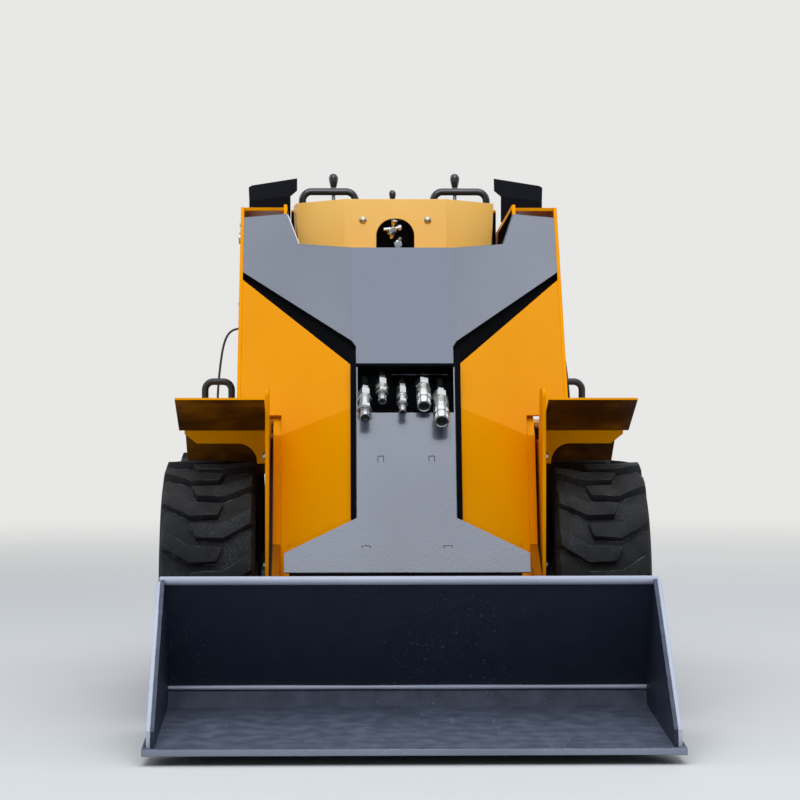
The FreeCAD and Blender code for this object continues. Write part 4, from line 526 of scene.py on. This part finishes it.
# Hand grips and levers
# Bent tube in glossy black with welded feet, and thin chromed lever rods with pear-shaped knobs
# of moulded plastic, each in a rubber boot.
gloss_black = coated("gloss_black", (22, 23, 26), (17, 18, 20), (60, 60, 62), roughness=0.22,
                     coat=0.5, dust=0.08, peel=0.1, radius=0.0008)
dress(gloss_black, "hand_grips")
GRIP_MIDDLE, GRIP_HALF = 172, 69.5
mesh = bmesh.new()
for side, sign in SIDES:
    for x in (GRIP_MIDDLE - GRIP_HALF, GRIP_MIDDLE + GRIP_HALF):
        turned(mesh, ((0, 0), (0, 19), (4, 19), (5, 18), (5, 11), (8, 9.6), (8, 0)),
               spot(sign * x, 1800, 1200.5), UP, 28)
        for along in (-14.5, 14.5):
            bolt(mesh, spot(sign * x + along, 1800, 1205), UP, 2.4)
made("grip_feet", mesh, "chassis", "frame_paint", gloss_black)
rods = bmesh.new()
knobs = bmesh.new()
boots = bmesh.new()
console_top = 1201
for x, station, top, size in ((-160, 1830, 1310, 1.0), (160, 1830, 1310, 1.0), (-4, 1850, 1268, 0.75)):
    place = spot(x, station, console_top)
    tall = top - console_top
    turned(rods, ((0, 0), (0, 5), (tall - 40 * size, 5), (tall - 40 * size, 7), (tall - 34 * size, 7),
                  (tall - 30, 0)), place, UP, 20)
    pear = [(tall - 37 * size, 7.5 * size), (tall - 33 * size, 8.6 * size), (tall - 24 * size, 10.6 * size),
            (tall - 15 * size, 12 * size), (tall - 8 * size, 11.6 * size), (tall - 3 * size, 8.6 * size),
            (tall - 0.6 * size, 4.4 * size), (tall, 0)]
    turned(knobs, [(tall - 37 * size, 0)] + pear, place, UP, 32)
    folds = [(0, 0), (0, 24), (4, 24), (5, 20)]
    for number in range(3):
        folds += [(8 + number * 8, 19 - number * 4), (12 + number * 8, 13.5 - number * 3)]
    turned(boots, folds + [(34, 6), (36, 5.4), (36, 0)], place, UP, 28)
rod_piece = made("lever_rods", rods, "chassis", "chrome_rod", chrome)
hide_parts("levers")
made("lever_knobs", knobs, "chassis", "knob_plastic", gloss_black, smooth=60)
grip_rubber = coated("grip_rubber", (26, 26, 28), (20, 20, 22), (56, 56, 56), roughness=0.55,
                     coat=0.0, dust=0.15, peel=0.5, peel_scale=700)
made("lever_boots", boots, "chassis", "grip_rubber", grip_rubber, smooth=50)

# Operator pad
# A foam pad in black vinyl on the rear panel that the operator leans on, welted round its edge and
# sewn across twice.
pad_vinyl = coated("pad_vinyl", (30, 30, 33), (24, 24, 27), (54, 54, 56), roughness=0.5,
                   coat=0.0, dust=0.15, peel=0.8, peel_scale=900, radius=0.001)
PAD_HALF, PAD_TALL, PAD_DEPTH, PAD_MIDDLE = 198, 88, 44, 870
mesh = bmesh.new()
bmesh.ops.create_grid(mesh, x_segments=40, y_segments=18, size=1)
for vertex in mesh.verts:
    u, v = vertex.co.x, vertex.co.y
    pull = 1 - 0.018 * (1 - (2 * abs(v) - 1) ** 2) * abs(u)
    corner = 1 - 0.09 * (abs(u) * abs(v)) ** 6
    rise = (1 - abs(u) ** 5) ** 0.45 * (1 - abs(v) ** 4) ** 0.45 * (0.8 + 0.2 * (1 - v * v) * (1 - u * u))
    for seam in (-1 / 3, 1 / 3):
        rise -= 0.16 * math.exp(-((u - seam) / 0.022) ** 2) * rise
    vertex.co = spot(u * PAD_HALF * pull * corner, 2046.6 + PAD_DEPTH * (0.3 + 0.7 * rise),
                     PAD_MIDDLE + v * PAD_TALL * corner)
rim = [edge for edge in mesh.edges if edge.is_boundary]
skirt = bmesh.ops.extrude_edge_only(mesh, edges=rim)["geom"]
foot = [item for item in skirt if isinstance(item, bmesh.types.BMVert)]
for vertex in foot:
    vertex.co.y = spot(0, 2046.5, 0).y
    vertex.co.x *= 0.985
bmesh.ops.contextual_create(mesh, geom=[item for item in skirt if isinstance(item, bmesh.types.BMEdge)])
bmesh.ops.smooth_vert(mesh, verts=[v for v in mesh.verts if v not in foot], factor=0.4, use_axis_x=True,
                      use_axis_y=True, use_axis_z=True)
pad = made("back_pad", mesh, "chassis", "grip_rubber", pad_vinyl, smooth=70)
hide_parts("operator_pad")
mesh = bmesh.new()
corners = [(-PAD_HALF + 6, -PAD_TALL + 6), (PAD_HALF - 6, -PAD_TALL + 6), (PAD_HALF - 6, PAD_TALL - 6),
           (-PAD_HALF + 6, PAD_TALL - 6)]
for (x, z), (next_x, next_z) in zip(corners, corners[1:] + corners[:1]):
    bead(mesh, spot(x, 2060, PAD_MIDDLE + z), spot(next_x, 2060, PAD_MIDDLE + next_z), 3.2, 5)
made("back_pad_welt", mesh, "chassis", "grip_rubber", pad_vinyl, smooth=70)

# Platform
# Folded chequer plate that the operator stands on, with raised bars pressed crosswise in it and
# bolts into the two brackets.
dress(frame_black, "platform", "platform_brackets")
mesh = bmesh.new()
for row in range(11):
    for column in range(23):
        x = -275 + column * 25
        station = 2172 + row * 26 + (13 if column % 2 else 0)
        if station > 2440:
            continue
        lean = 0.7 if (row + column) % 2 else -0.7
        along = Vector((math.cos(lean), math.sin(lean), 0))
        across = Vector((-along.y, along.x, 0))
        middle = spot(x, station, 244.6)
        outline = [(-9, 0), (-5, 2.6), (5, 2.6), (9, 0), (5, -2.6), (-5, -2.6)]
        bar = mesh.faces.new([mesh.verts.new(middle + (along * a + across * b) / 1000) for a, b in outline])
        for vertex in pulled_out(mesh, bar):
            reach = vertex.co - middle
            narrowed = along * reach.dot(along) * 0.7 + across * reach.dot(across) * 0.5
            vertex.co = middle + narrowed + UP * 0.0024
        mesh.faces.remove(bar)
made("platform_tread", mesh, "chassis", "frame_paint", frame_black, smooth=50)

# Rear hoops
# Bent tube guards behind the wheels, in satin black like the frame. They stand on welded flanges
# that are bolted to the fenders.
dress(frame_black, "rear_hoops")
HOOP_STATION = 1866
mesh = bmesh.new()
for side, sign in SIDES:
    for x in (430, 500):
        turned(mesh, ((0, 0), (0, 17), (3, 17), (4, 16), (4, 11), (8, 9.5), (8, 0)),
               spot(sign * x, HOOP_STATION, 661.2), UP, 24)
        for back in (-13, 13):
            bolt(mesh, spot(sign * x, HOOP_STATION + back, 665), UP, 2.4)
made("hoop_feet", mesh, "chassis", "frame_paint", frame_black)

# Side cables
# Black sheathed cables, one on each side, that leave a gland on the tower, arch outwards and drop
# into a gland on the fender.
dress(bright_zinc, "cable_glands")
cable_sheath = coated("cable_sheath", (20, 20, 22), (16, 16, 18), (48, 48, 50), roughness=0.4,
                      coat=0.0, dust=0.1, peel=0.2)
cable_route = ((379, 1985, 905), (420, 1985, 905), (444, 1979, 890), (456, 1966, 856), (462, 1946, 812),
               (466, 1922, 768), (468, 1898, 726), (468, 1886, 696), (468, 1886, 668))
for side, sign in SIDES:
    curve = bpy.data.curves.new("cable_" + side, "CURVE")
    curve.dimensions = "3D"
    curve.bevel_depth = 0.003
    curve.bevel_resolution = 3
    curve.resolution_u = 10
    curve.use_fill_caps = True
    line = curve.splines.new("NURBS")
    line.points.add(len(cable_route) - 1)
    for point, (x, station, z) in zip(line.points, cable_route):
        point.co = (*spot(sign * x, station, z), 1)
    line.order_u = 3
    line.use_endpoint_u = True
    curve.materials.append(cable_sheath)
    cable = bpy.data.objects.new("cable_" + side, curve)
    bpy.context.scene.collection.objects.link(cable)
    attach(cable, "chassis")
    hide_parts("side_cable_" + side)

# Lift arm
# Welded plate: yellow beams, shoulders and legs, a web behind in a flat near-black that is painted
# shade in the gaps, and dark front plates. Zinc retaining flags and bolts hold the pins in the outer
# plates.
dress(machine_yellow, "arm_beam_left", "arm_beam_right", "arm_shoulder_left", "arm_shoulder_right")
dark_enamel = coated("dark_enamel", (46, 52, 72), (38, 44, 62), (116, 120, 134), roughness=0.3,
                     coat=0.8, dust=0.1, peel=0.55, peel_scale=270, coat_roughness=0.05, shine=1.0,
                     tint=(0.84, 0.9, 1.0, 1))
dress(dark_enamel, "arm_front_plate", "arm_lower_plate")
# A flat near-black without gloss, painted shade in the arm's gaps and the coupler recess; the hose stubs wear
# it too.
pit_shade_black = coated("pit_shade_black", (13, 14, 17), (10, 11, 13), (48, 48, 50), roughness=0.6,
                   coat=0.0, dust=0.04, peel=0.3, shine=0.0)
dress(pit_shade_black, "arm_web", "coupler_nest")
dress(frame_black, "arm_ribs", "arm_cross_tube", "lift_barrel_left", "lift_barrel_right", "tilt_barrel")
guard_black = coated("guard_black", (15, 17, 25), (12, 14, 20), (112, 116, 128), roughness=0.5,
                     coat=0.0, dust=0.05, peel=0.4, shine=0.04)
dress(guard_black, "arm_guards")
dress(bright_zinc, "tower_pins", "arm_pins", "attach_pins")
# Near-black sheets on the inner faces of the arm beside the console: painted shade on faces in shadow.
mesh = bmesh.new()
for side, sign in SIDES:
    slab(mesh, [spot(sign * 273.8, 1120, 985), spot(sign * 273.8, 1256, 1184), spot(sign * 273.8, 1800, 1152),
                spot(sign * 273.8, 1800, 985)], ACROSS * -sign * 0.001, 0)
made("arm_inner_shade_sheets", mesh, "lift_arm", "dark_paint", painted_shade_black)
# A darker, browner yellow: painted shade for the slanted face under the leg's swept front.
leg_shade_yellow = coated("leg_shade_yellow", (150, 84, 0), (128, 70, 0), (120, 76, 20), roughness=0.5,
                        coat=0.0, dust=0.05, shine=0.05, dust_colour=(120, 84, 20))
LEG_INNER, LEG_WIDTH = 282, 18
KNEE, KNEE_Z = 807.7, 645
FACET_SWEEP, COLUMN_LEAN = 0.818, 0.369


def column_front(z):
    """The station of the column's front face at a height."""
    return 690 + COLUMN_LEAN * (z - 711)


for side, sign in SIDES:
    # station and height of the side view, and how far the outer face is set back
    rows = [(KNEE - 92, 401, 14.7), (KNEE, KNEE_Z, 14.7), (862.5, 686.8, 17.4), (1003.5, 686.8, 0),
            (KNEE - 18, 450, 0)]
    for number in range(25):
        turn = math.radians(-8 - number * 6.75)
        rows.append((600 + 40 * math.cos(turn), 150 + 40 * math.sin(turn), 0))
    rows.append((574, 329, 0))
    mesh = bmesh.new()
    inner = [mesh.verts.new(spot(sign * LEG_INNER, station, z)) for station, z, _ in rows]
    set_back = {tuple(vertex.co): back for vertex, (_, _, back) in zip(inner, rows)}
    for vertex in pulled_out(mesh, mesh.faces.new(inner)):
        vertex.co += (ACROSS * sign * LEG_WIDTH + BACK * set_back[tuple(vertex.co)]) / 1000
    # The slanted face below the swept front takes the second finish, the painted shade.
    for face in mesh.edges.get((inner[-1], inner[0])).link_faces:
        if len(face.verts) == 4:
            face.material_index = 1
    turned(mesh, ((0, 0), (0, 30), (1.5, 30), (2, 29), (2, 0)), spot(sign * 299.5, 600, 150),
           ACROSS * sign, 32)
    leg = made("arm_leg_with_swept_edge_" + side, mesh, "lift_arm", "machine_paint", machine_yellow,
               leg_shade_yellow, smooth=10)
    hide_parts("arm_leg_" + side)
    mesh = bmesh.new()
    corners = []
    for x, z in ((121, 470), (282, 394), (282, 330), (262, 330), (262, 376), (121, 440)):
        station = KNEE + FACET_SWEEP * (x - LEG_INNER) + COLUMN_LEAN * (z - KNEE_Z)
        corners.append(spot(sign * x, station, z))
    slab(mesh, corners, BACK * 0.004, 0)
    made("arm_facet_foot_" + side, mesh, "lift_arm", "machine_paint", machine_yellow)
# Narrow near-black strips in the slits beside the column: painted shade in those gaps.
mesh = bmesh.new()
for side, sign in SIDES:
    low, high = 463, 838
    slab(mesh, [spot(sign * x, column_front(z) + 1, z) for x, z in
                ((112.5, low), (124.5, low), (124.5, high), (112.5, high))], BACK * 0.004, 0.5)
made("column_gap_shade_strips", mesh, "lift_arm", "grip_rubber", pit_shade_black)
flags = bmesh.new()
for side, sign in SIDES:
    outward = ACROSS * sign
    for station, z, up in ((1400, 1120, 1), (2000, 1080, 0)):
        lift, run = (1, 0) if up else (0.3, -1)
        turned(flags, ((-1, 0), (-1, 24), (3, 24), (4, 23), (4, 0)), spot(sign * ARM_FACE, station, z),
               outward, 32)
        bolt(flags, spot(sign * 392, station, z), outward, 7)
        bolt(flags, spot(sign * 390, station + 44 * run, z + 44 * lift - 10), outward, 6)
    for station, z in ((1250, 955), (1150, 734), (1500, 1090), (1700, 1110)):
        bolt(flags, spot(sign * ARM_FACE, station, z), outward, 7)
made("arm_pin_flags", flags, "lift_arm", "zinc_steel", bright_zinc)
marks = bmesh.new()
outer = Vector((0, -0.938, 0.346)) * 0.0004
for x, z, wide, tall in ((57, 596, 13, 13), (90.5, 404, 18, 5)):
    for sign in (-1, 1):
        corners = [spot(sign * x + a * wide / 2, column_front(z + b * tall / 2), z + b * tall / 2)
                   for a, b in ((-1, -1), (1, -1), (1, 1), (-1, 1))]
        for first, second in ((0, 3), (3, 2), (2, 1)):
            bead(marks, corners[first] + outer, corners[second] + outer, 0.8, 2)
made("tab_welds", marks, "lift_arm", "dark_paint", frame_black)

# Coupler recess
# A welded box behind a cut in the column, in a flat near-black that is painted shade for the deep
# recess. A thin bracket crosses it over the couplers, and the stubs of the hoses end on its back wall.
mesh = bmesh.new()
slab(mesh, [spot(-31, 730, 783), spot(95, 730, 783), spot(95, 756, 783), spot(-31, 756, 783)], UP * 0.002)
made("nest_bracket", mesh, "lift_arm", "zinc_steel", guard_black)

# Couplers
# Five turned and plated quick couplers for hoses, three plugs and two sleeves, with hexagons for the
# spanner, locking rings and dark open ends. They point forwards and down out of the recess.
coupler_steel = coated("coupler_steel", (186, 186, 182), (140, 138, 132), (226, 226, 224),
                       roughness=0.2, coat=0.0, dust=0.1, peel=0.1, metallic=1.0, radius=0.0006)
COUPLERS = (
    # across, height of the tip, how far the tip stands out, radius, length of the body, sleeve
    (-92, 688, 52, 15.5, 98, False),
    (-53, 724, 30, 14, 76, False),
    (-8, 700, 40, 12.5, 84, False),
    (40, 713, 36, 16.5, 94, True),
    (78, 680, 62, 17.5, 102, True),
)
RECESS_DEPTH = 44
droop = math.radians(35)
nest_depth = math.hypot(1, COLUMN_LEAN) * RECESS_DEPTH - 8
lean_in = 1 / math.tan(droop) - COLUMN_LEAN
bright = bmesh.new()
dark = bmesh.new()
stubs = bmesh.new()
axis = Vector((0, -math.cos(droop), -math.sin(droop)))
for x, tip, out, radius, body, sleeve in COUPLERS:
    rise = (out + nest_depth) / lean_in
    total = rise / math.sin(droop)
    stem = total - body
    base = tip + rise
    place = spot(x, column_front(base) + nest_depth, base)
    turned(stubs, ((0, 0), (0, 9), (stem - 12, 9), (stem - 12, 0)), place, axis, 24)
    turned(bright, ((stem - 16, 0), (stem - 16, 10), (stem - 14, 12), (stem - 3, 12), (stem - 1, 10),
                    (stem - 1, 0)), place, axis, 6)
    turned(bright, ((stem - 2, 0), (stem - 2, 9.5), (stem + 1, 9.5), (stem + 1, 0)), place, axis, 24)
    turned(bright, ((stem, 0), (stem, radius - 1), (stem + 1.5, radius + 1), (stem + 21, radius + 1),
                    (stem + 22.5, radius - 1), (stem + 22.5, 0)), place, axis, 6)
    if sleeve:
        rows = [(stem + 22, 0), (stem + 22, radius - 3), (stem + 26, radius - 3), (stem + 27, radius)]
        for number in range(5):
            at = stem + 29 + number * 3
            rows += [(at, radius), (at + 1.8, radius), (at + 2.2, radius - 1.3), (at + 2.7, radius - 1.3)]
        rows += [(total - 44, radius - 2.5), (total - 41, radius - 2.5), (total - 40, radius + 1),
                 (total - 26, radius + 1), (total - 24.5, radius + 0.4), (total - 24, radius - 1.8),
                 (total - 22, radius - 1.8), (total - 21, radius), (total - 3, radius),
                 (total - 1, radius - 1.2), (total, radius - 2.6), (total - 1, radius - 5),
                 (total - 14, radius - 5.5), (total - 14, 0)]
        turned(bright, rows, place, axis, 40)
        turned(dark, ((total - 13.5, 0), (total - 13.5, radius - 5.6), (total - 2.5, radius - 5.3),
                      (total - 3.5, radius - 7), (total - 11, radius - 8), (total - 9, 3), (total - 8, 0)),
               place, axis, 28)
    else:
        turned(bright, ((stem + 22, 0), (stem + 22, radius - 3), (stem + 24, radius - 3),
                        (stem + 25, radius + 0.5), (stem + 30, radius + 0.5), (stem + 31, radius - 1.5),
                        (total - 40, radius - 1.5), (total - 39, 0)), place, axis, 36)
        turned(bright, ((total - 41, 0), (total - 41, radius - 1), (total - 40, radius + 1),
                        (total - 31, radius + 1), (total - 30, radius - 1), (total - 30, 0)), place, axis, 6)
        turned(bright, ((total - 31, 0), (total - 31, radius - 5), (total - 22, radius - 5),
                        (total - 20, radius - 4), (total - 15, radius - 4), (total - 13.5, radius - 5.6),
                        (total - 11, radius - 5.6), (total - 9.5, radius - 4.2), (total - 1, radius - 4.2),
                        (total, radius - 5.2), (total - 0.2, 4.6), (total - 4, 4.4), (total - 4, 0)),
               place, axis, 36)
        turned(dark, ((total - 4.5, 0), (total - 3.6, 4.3), (total - 3.6, 2.5), (total - 2, 2),
                      (total - 2, 0)), place, axis, 24)
coupler_piece = made("hose_couplers", bright, "lift_arm", "zinc_steel", coupler_steel)
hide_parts("couplers")
made("coupler_seals", dark, "lift_arm", "frame_paint", valve_rubber)
made("hose_stubs", stubs, "lift_arm", "frame_paint", pit_shade_black)

# Cylinder rods and glands
# Ground steel rods with hard chrome, wiper rings in threaded glands, and steel oil pipes along the
# barrels with their fittings.
dress(chrome, "lift_rod_left", "lift_rod_right", "tilt_rod")
CYLINDERS = (
    # name, across, foot station and height, eye station and height, barrel end, barrel and rod radius
    ("lift_barrel_left", "lift_rod_left", -331, 1990, 780, 1400, 1120, 478, 27, 13),
    ("lift_barrel_right", "lift_rod_right", 331, 1990, 780, 1400, 1120, 478, 27, 13),
    ("tilt_barrel", "tilt_rod", 0, 1120, 900, 600, 290, 560, 30, 14),
)
for barrel, rod, x, foot_station, foot_z, eye_station, eye_z, end, wide, thin in CYLINDERS:
    foot = spot(x, foot_station, foot_z)
    axis = (spot(x, eye_station, eye_z) - foot).normalized()
    mesh = bmesh.new()
    collar = wide + 3
    turned(mesh, ((end - 34, wide - 1), (end - 34, collar), (end - 6, collar), (end - 4, collar - 2),
                  (end + 6, collar - 5), (end + 8, thin + 4), (end + 8, thin + 0.6)), foot, axis, 40)
    for number in range(4):
        turn = number * math.pi / 2 + 0.4
        out = axis.orthogonal().normalized()
        out = out * math.cos(turn) + axis.cross(out) * math.sin(turn)
        turned(mesh, ((-3, 0), (-3, 4), (1.5, 4), (1.5, 0)), foot + (axis * (end - 20) + out * collar) / 1000,
               out, 12)
    turned(mesh, ((16, wide - 1), (16, wide + 1.5), (20, wide + 2.5), (25, wide + 1), (26, wide - 1)),
           foot, axis, 40)
    upward = axis.cross(ACROSS)
    if upward.z < 0:
        upward = -upward
    for at in (60, end - 56):
        port = foot + axis * at / 1000 + upward * (wide - 2) / 1000
        turned(mesh, ((0, 0), (0, 12), (9, 12), (11, 10), (11, 0)), port, upward, 24)
        turned(mesh, ((11, 0), (11, 9), (19, 9), (20, 7), (20, 0)), port, upward, 6)
    made(barrel + "_gland_and_ports", mesh, barrel, "dark_paint", frame_black)
    mesh = bmesh.new()
    near = foot + axis * 0.060 + upward * (wide + 24) / 1000
    far = foot + axis * (end - 56) / 1000 + upward * (wide + 24) / 1000
    pipe_length = (far - near).length * 1000
    turned(mesh, ((0, 0), (0, 5), (pipe_length, 5), (pipe_length, 0)), near, axis, 16)
    for place in (near, far):
        turned(mesh, ((-8, 0), (-8, 7), (4, 7), (7, 5), (7, 0)), place, upward, 16)
    for share in (0.3, 0.7):
        middle = near.lerp(far, share)
        slab(mesh, [middle + (ACROSS * a + axis * b) / 1000 - upward * 0.024 for a, b in
                    ((-11, -9), (11, -9), (11, 9), (-11, 9))], upward * 0.032, 2)
    made(barrel + "_oil_pipe", mesh, barrel, "dark_paint", gloss_black)
    mesh = bmesh.new()
    length = (spot(x, eye_station, eye_z) - foot).length * 1000
    turned(mesh, ((length - 44, thin - 0.5), (length - 44, thin + 2), (length - 38, thin + 5),
                  (length - 26, thin + 7), (length - 20, thin + 4)), foot, axis, 32)
    made(rod + "_eye_weld", mesh, rod, "dark_paint", frame_black)

# Bucket
# Rolled plate in dark enamel, scratched and dusty where material slides, with a worn cutting edge.
# The sides and the lip are welded on.
bucket_enamel = coated("bucket_enamel", (28, 35, 52), (23, 29, 44), (120, 126, 142), roughness=0.42,
                       coat=0.0, dust=0.4, scratch=0.45, peel=0.3, shine=0.3, wear=0.9, radius=0.003,
                       dust_colour=(122, 130, 148))
dress(bucket_enamel, "bucket_shell", "bucket_sides", "attach_plate")
dress(bucket_enamel, "cutting_edge")
mesh = bmesh.new()
for side, sign in SIDES:
    bead(mesh, spot(sign * 532, 150, 36), spot(sign * 532, 500, 61), 3.5)
    bead(mesh, spot(sign * 532, 500, 61), spot(sign * 532, 538, 98), 3.5)
    bead(mesh, spot(sign * 532, 537, 98), spot(sign * 532, 400, 340), 3.5)
    bead(mesh, spot(sign * 542, 30, 36), spot(sign * 542, 145, 37), 4)
bead(mesh, spot(-530, 152, 36), spot(530, 152, 36), 3)
made("bucket_welds", mesh, "bucket", "dark_paint", bucket_enamel)
# The lip bar, the bead along the heel and the front edges of the sides are in a pale bluish enamel: painted
# highlights along these edges, with scratches and dust on them.
mesh = bmesh.new()
turned(mesh, ((-536, 0), (-536, 8), (-534, 9.4), (534, 9.4), (536, 8), (536, 0)), spot(0, 403, 343),
       ACROSS, 24)
bead(mesh, spot(-529, 533.5, 98.5), spot(529, 533.5, 98.5), 5.5, 400)
for side, sign in SIDES:
    slab(mesh, upright(sign * 533.5, sign * 541.5, 14.2, 34, 68), BACK * 0.002, 0.5)
    slab(mesh, [spot(sign * 533.5, 14.3, 69), spot(sign * 541.5, 14.3, 69), spot(sign * 541.5, 390, 343),
                spot(sign * 533.5, 390, 343)], (BACK * 0.591 - UP * 0.807) * 0.002, 0.5)
lip_highlight_enamel = coated("lip_highlight_enamel", (176, 182, 200), (156, 162, 180), (200, 204, 214), roughness=0.4,
                    coat=0.2, dust=0.1, scratch=0.4, peel=0.4)
made("bucket_highlight_edges", mesh, "bucket", "dark_paint", lip_highlight_enamel, smooth=60)
edge_steel = coated("edge_steel", (130, 136, 154), (108, 114, 132), (176, 180, 190), roughness=0.42,
                    coat=0.1, dust=0.1, scratch=0.6, peel=0.4)
mesh = bmesh.new()
slab(mesh, upright(-549.5, 549.5, -0.6, 20.5, 33.6), BACK * 0.0014, 0.4)
made("cutting_edge_front", mesh, "bucket", "dark_paint", edge_steel)

# Floor and background
# A wide pale floor that fades into a pale room. That pale colour is only what the camera sees; the
# light that the room sends onto the machine is weaker and cooler.
room = linear(232, 232, 230)
mesh = bmesh.new()
bmesh.ops.create_circle(mesh, cap_ends=True, segments=96, radius=90)
floor_data = bpy.data.meshes.new("floor")
mesh.to_mesh(floor_data)
mesh.free()
floor = bpy.data.objects.new("floor", floor_data)
bpy.context.scene.collection.objects.link(floor)
floor_finish = bpy.data.materials.new("pale_floor")
floor_finish.use_nodes = True
tree = floor_finish.node_tree
shader = tree.nodes["Principled BSDF"]
shader.inputs["Base Color"].default_value = linear(204, 204, 203)
shader.inputs["Roughness"].default_value = 0.8
shader.inputs["Specular IOR Level"].default_value = 0.15
glow = tree.nodes.new("ShaderNodeEmission")
glow.inputs["Color"].default_value = room
fade = tree.nodes.new("ShaderNodeMixShader")
place = tree.nodes.new("ShaderNodeTexCoord")
reach = tree.nodes.new("ShaderNodeVectorMath")
reach.operation = "LENGTH"
feed(tree, reach.inputs[0], place.outputs["Object"])
feed(tree, fade.inputs[0], step(tree, reach.outputs["Value"], 2.2, 8.5))
feed(tree, fade.inputs[1], shader.outputs[0])
feed(tree, fade.inputs[2], glow.outputs[0])
feed(tree, tree.nodes["Material Output"].inputs["Surface"], fade.outputs[0])
floor_data.materials.append(floor_finish)

world = bpy.data.worlds.new("room")
bpy.context.scene.world = world
world.use_nodes = True
tree = world.node_tree
background = tree.nodes["Background"]
seen = tree.nodes.new("ShaderNodeBackground")
seen.inputs["Color"].default_value = room
rays = tree.nodes.new("ShaderNodeLightPath")
mixing = tree.nodes.new("ShaderNodeMixShader")
background.inputs["Color"].default_value = (0.80, 0.86, 0.95, 1)
background.inputs["Strength"].default_value = 0.42
feed(tree, mixing.inputs[0], rays.outputs["Is Camera Ray"])
feed(tree, mixing.inputs[1], background.outputs[0])
feed(tree, mixing.inputs[2], seen.outputs[0])
feed(tree, tree.nodes["World Output"].inputs["Surface"], mixing.outputs[0])

# Lamps
# Five soft boxes: a wide one overhead, one high in front, one on each side and one behind. They are
# as large as the machine or larger, so no shadow has a hard edge.


def soft_box(name, place, target, size, watts, colour=(1, 1, 1)):
    lamp = bpy.data.lights.new(name, "AREA")
    lamp.shape = "RECTANGLE"
    lamp.size, lamp.size_y = size
    lamp.energy = watts
    lamp.color = colour
    holder = bpy.data.objects.new(name, lamp)
    holder.location = place
    holder.rotation_euler = (Vector(target) - Vector(place)).to_track_quat("-Z", "Y").to_euler()
    bpy.context.scene.collection.objects.link(holder)
    return holder


soft_box("overhead", (0, -0.9, 4.6), (0, 0, 0.5), (5, 5), 150, (0.88, 0.93, 1.0))
soft_box("front_high", (-0.4, -5.2, 5.2), (0, 0, 0.6), (5, 3.4), 180, (0.93, 0.96, 1.0))
soft_box("left_side", (-5.4, 1.2, 4.0), (0, 0, 0.7), (4, 3), 70, (0.9, 0.94, 1.0))
soft_box("right_side", (5.4, 1.2, 4.0), (0, 0, 0.7), (4, 3), 70, (0.9, 0.94, 1.0))
soft_box("behind", (1.5, 5.6, 3.2), (0, 0, 0.6), (3, 2.4), 50)
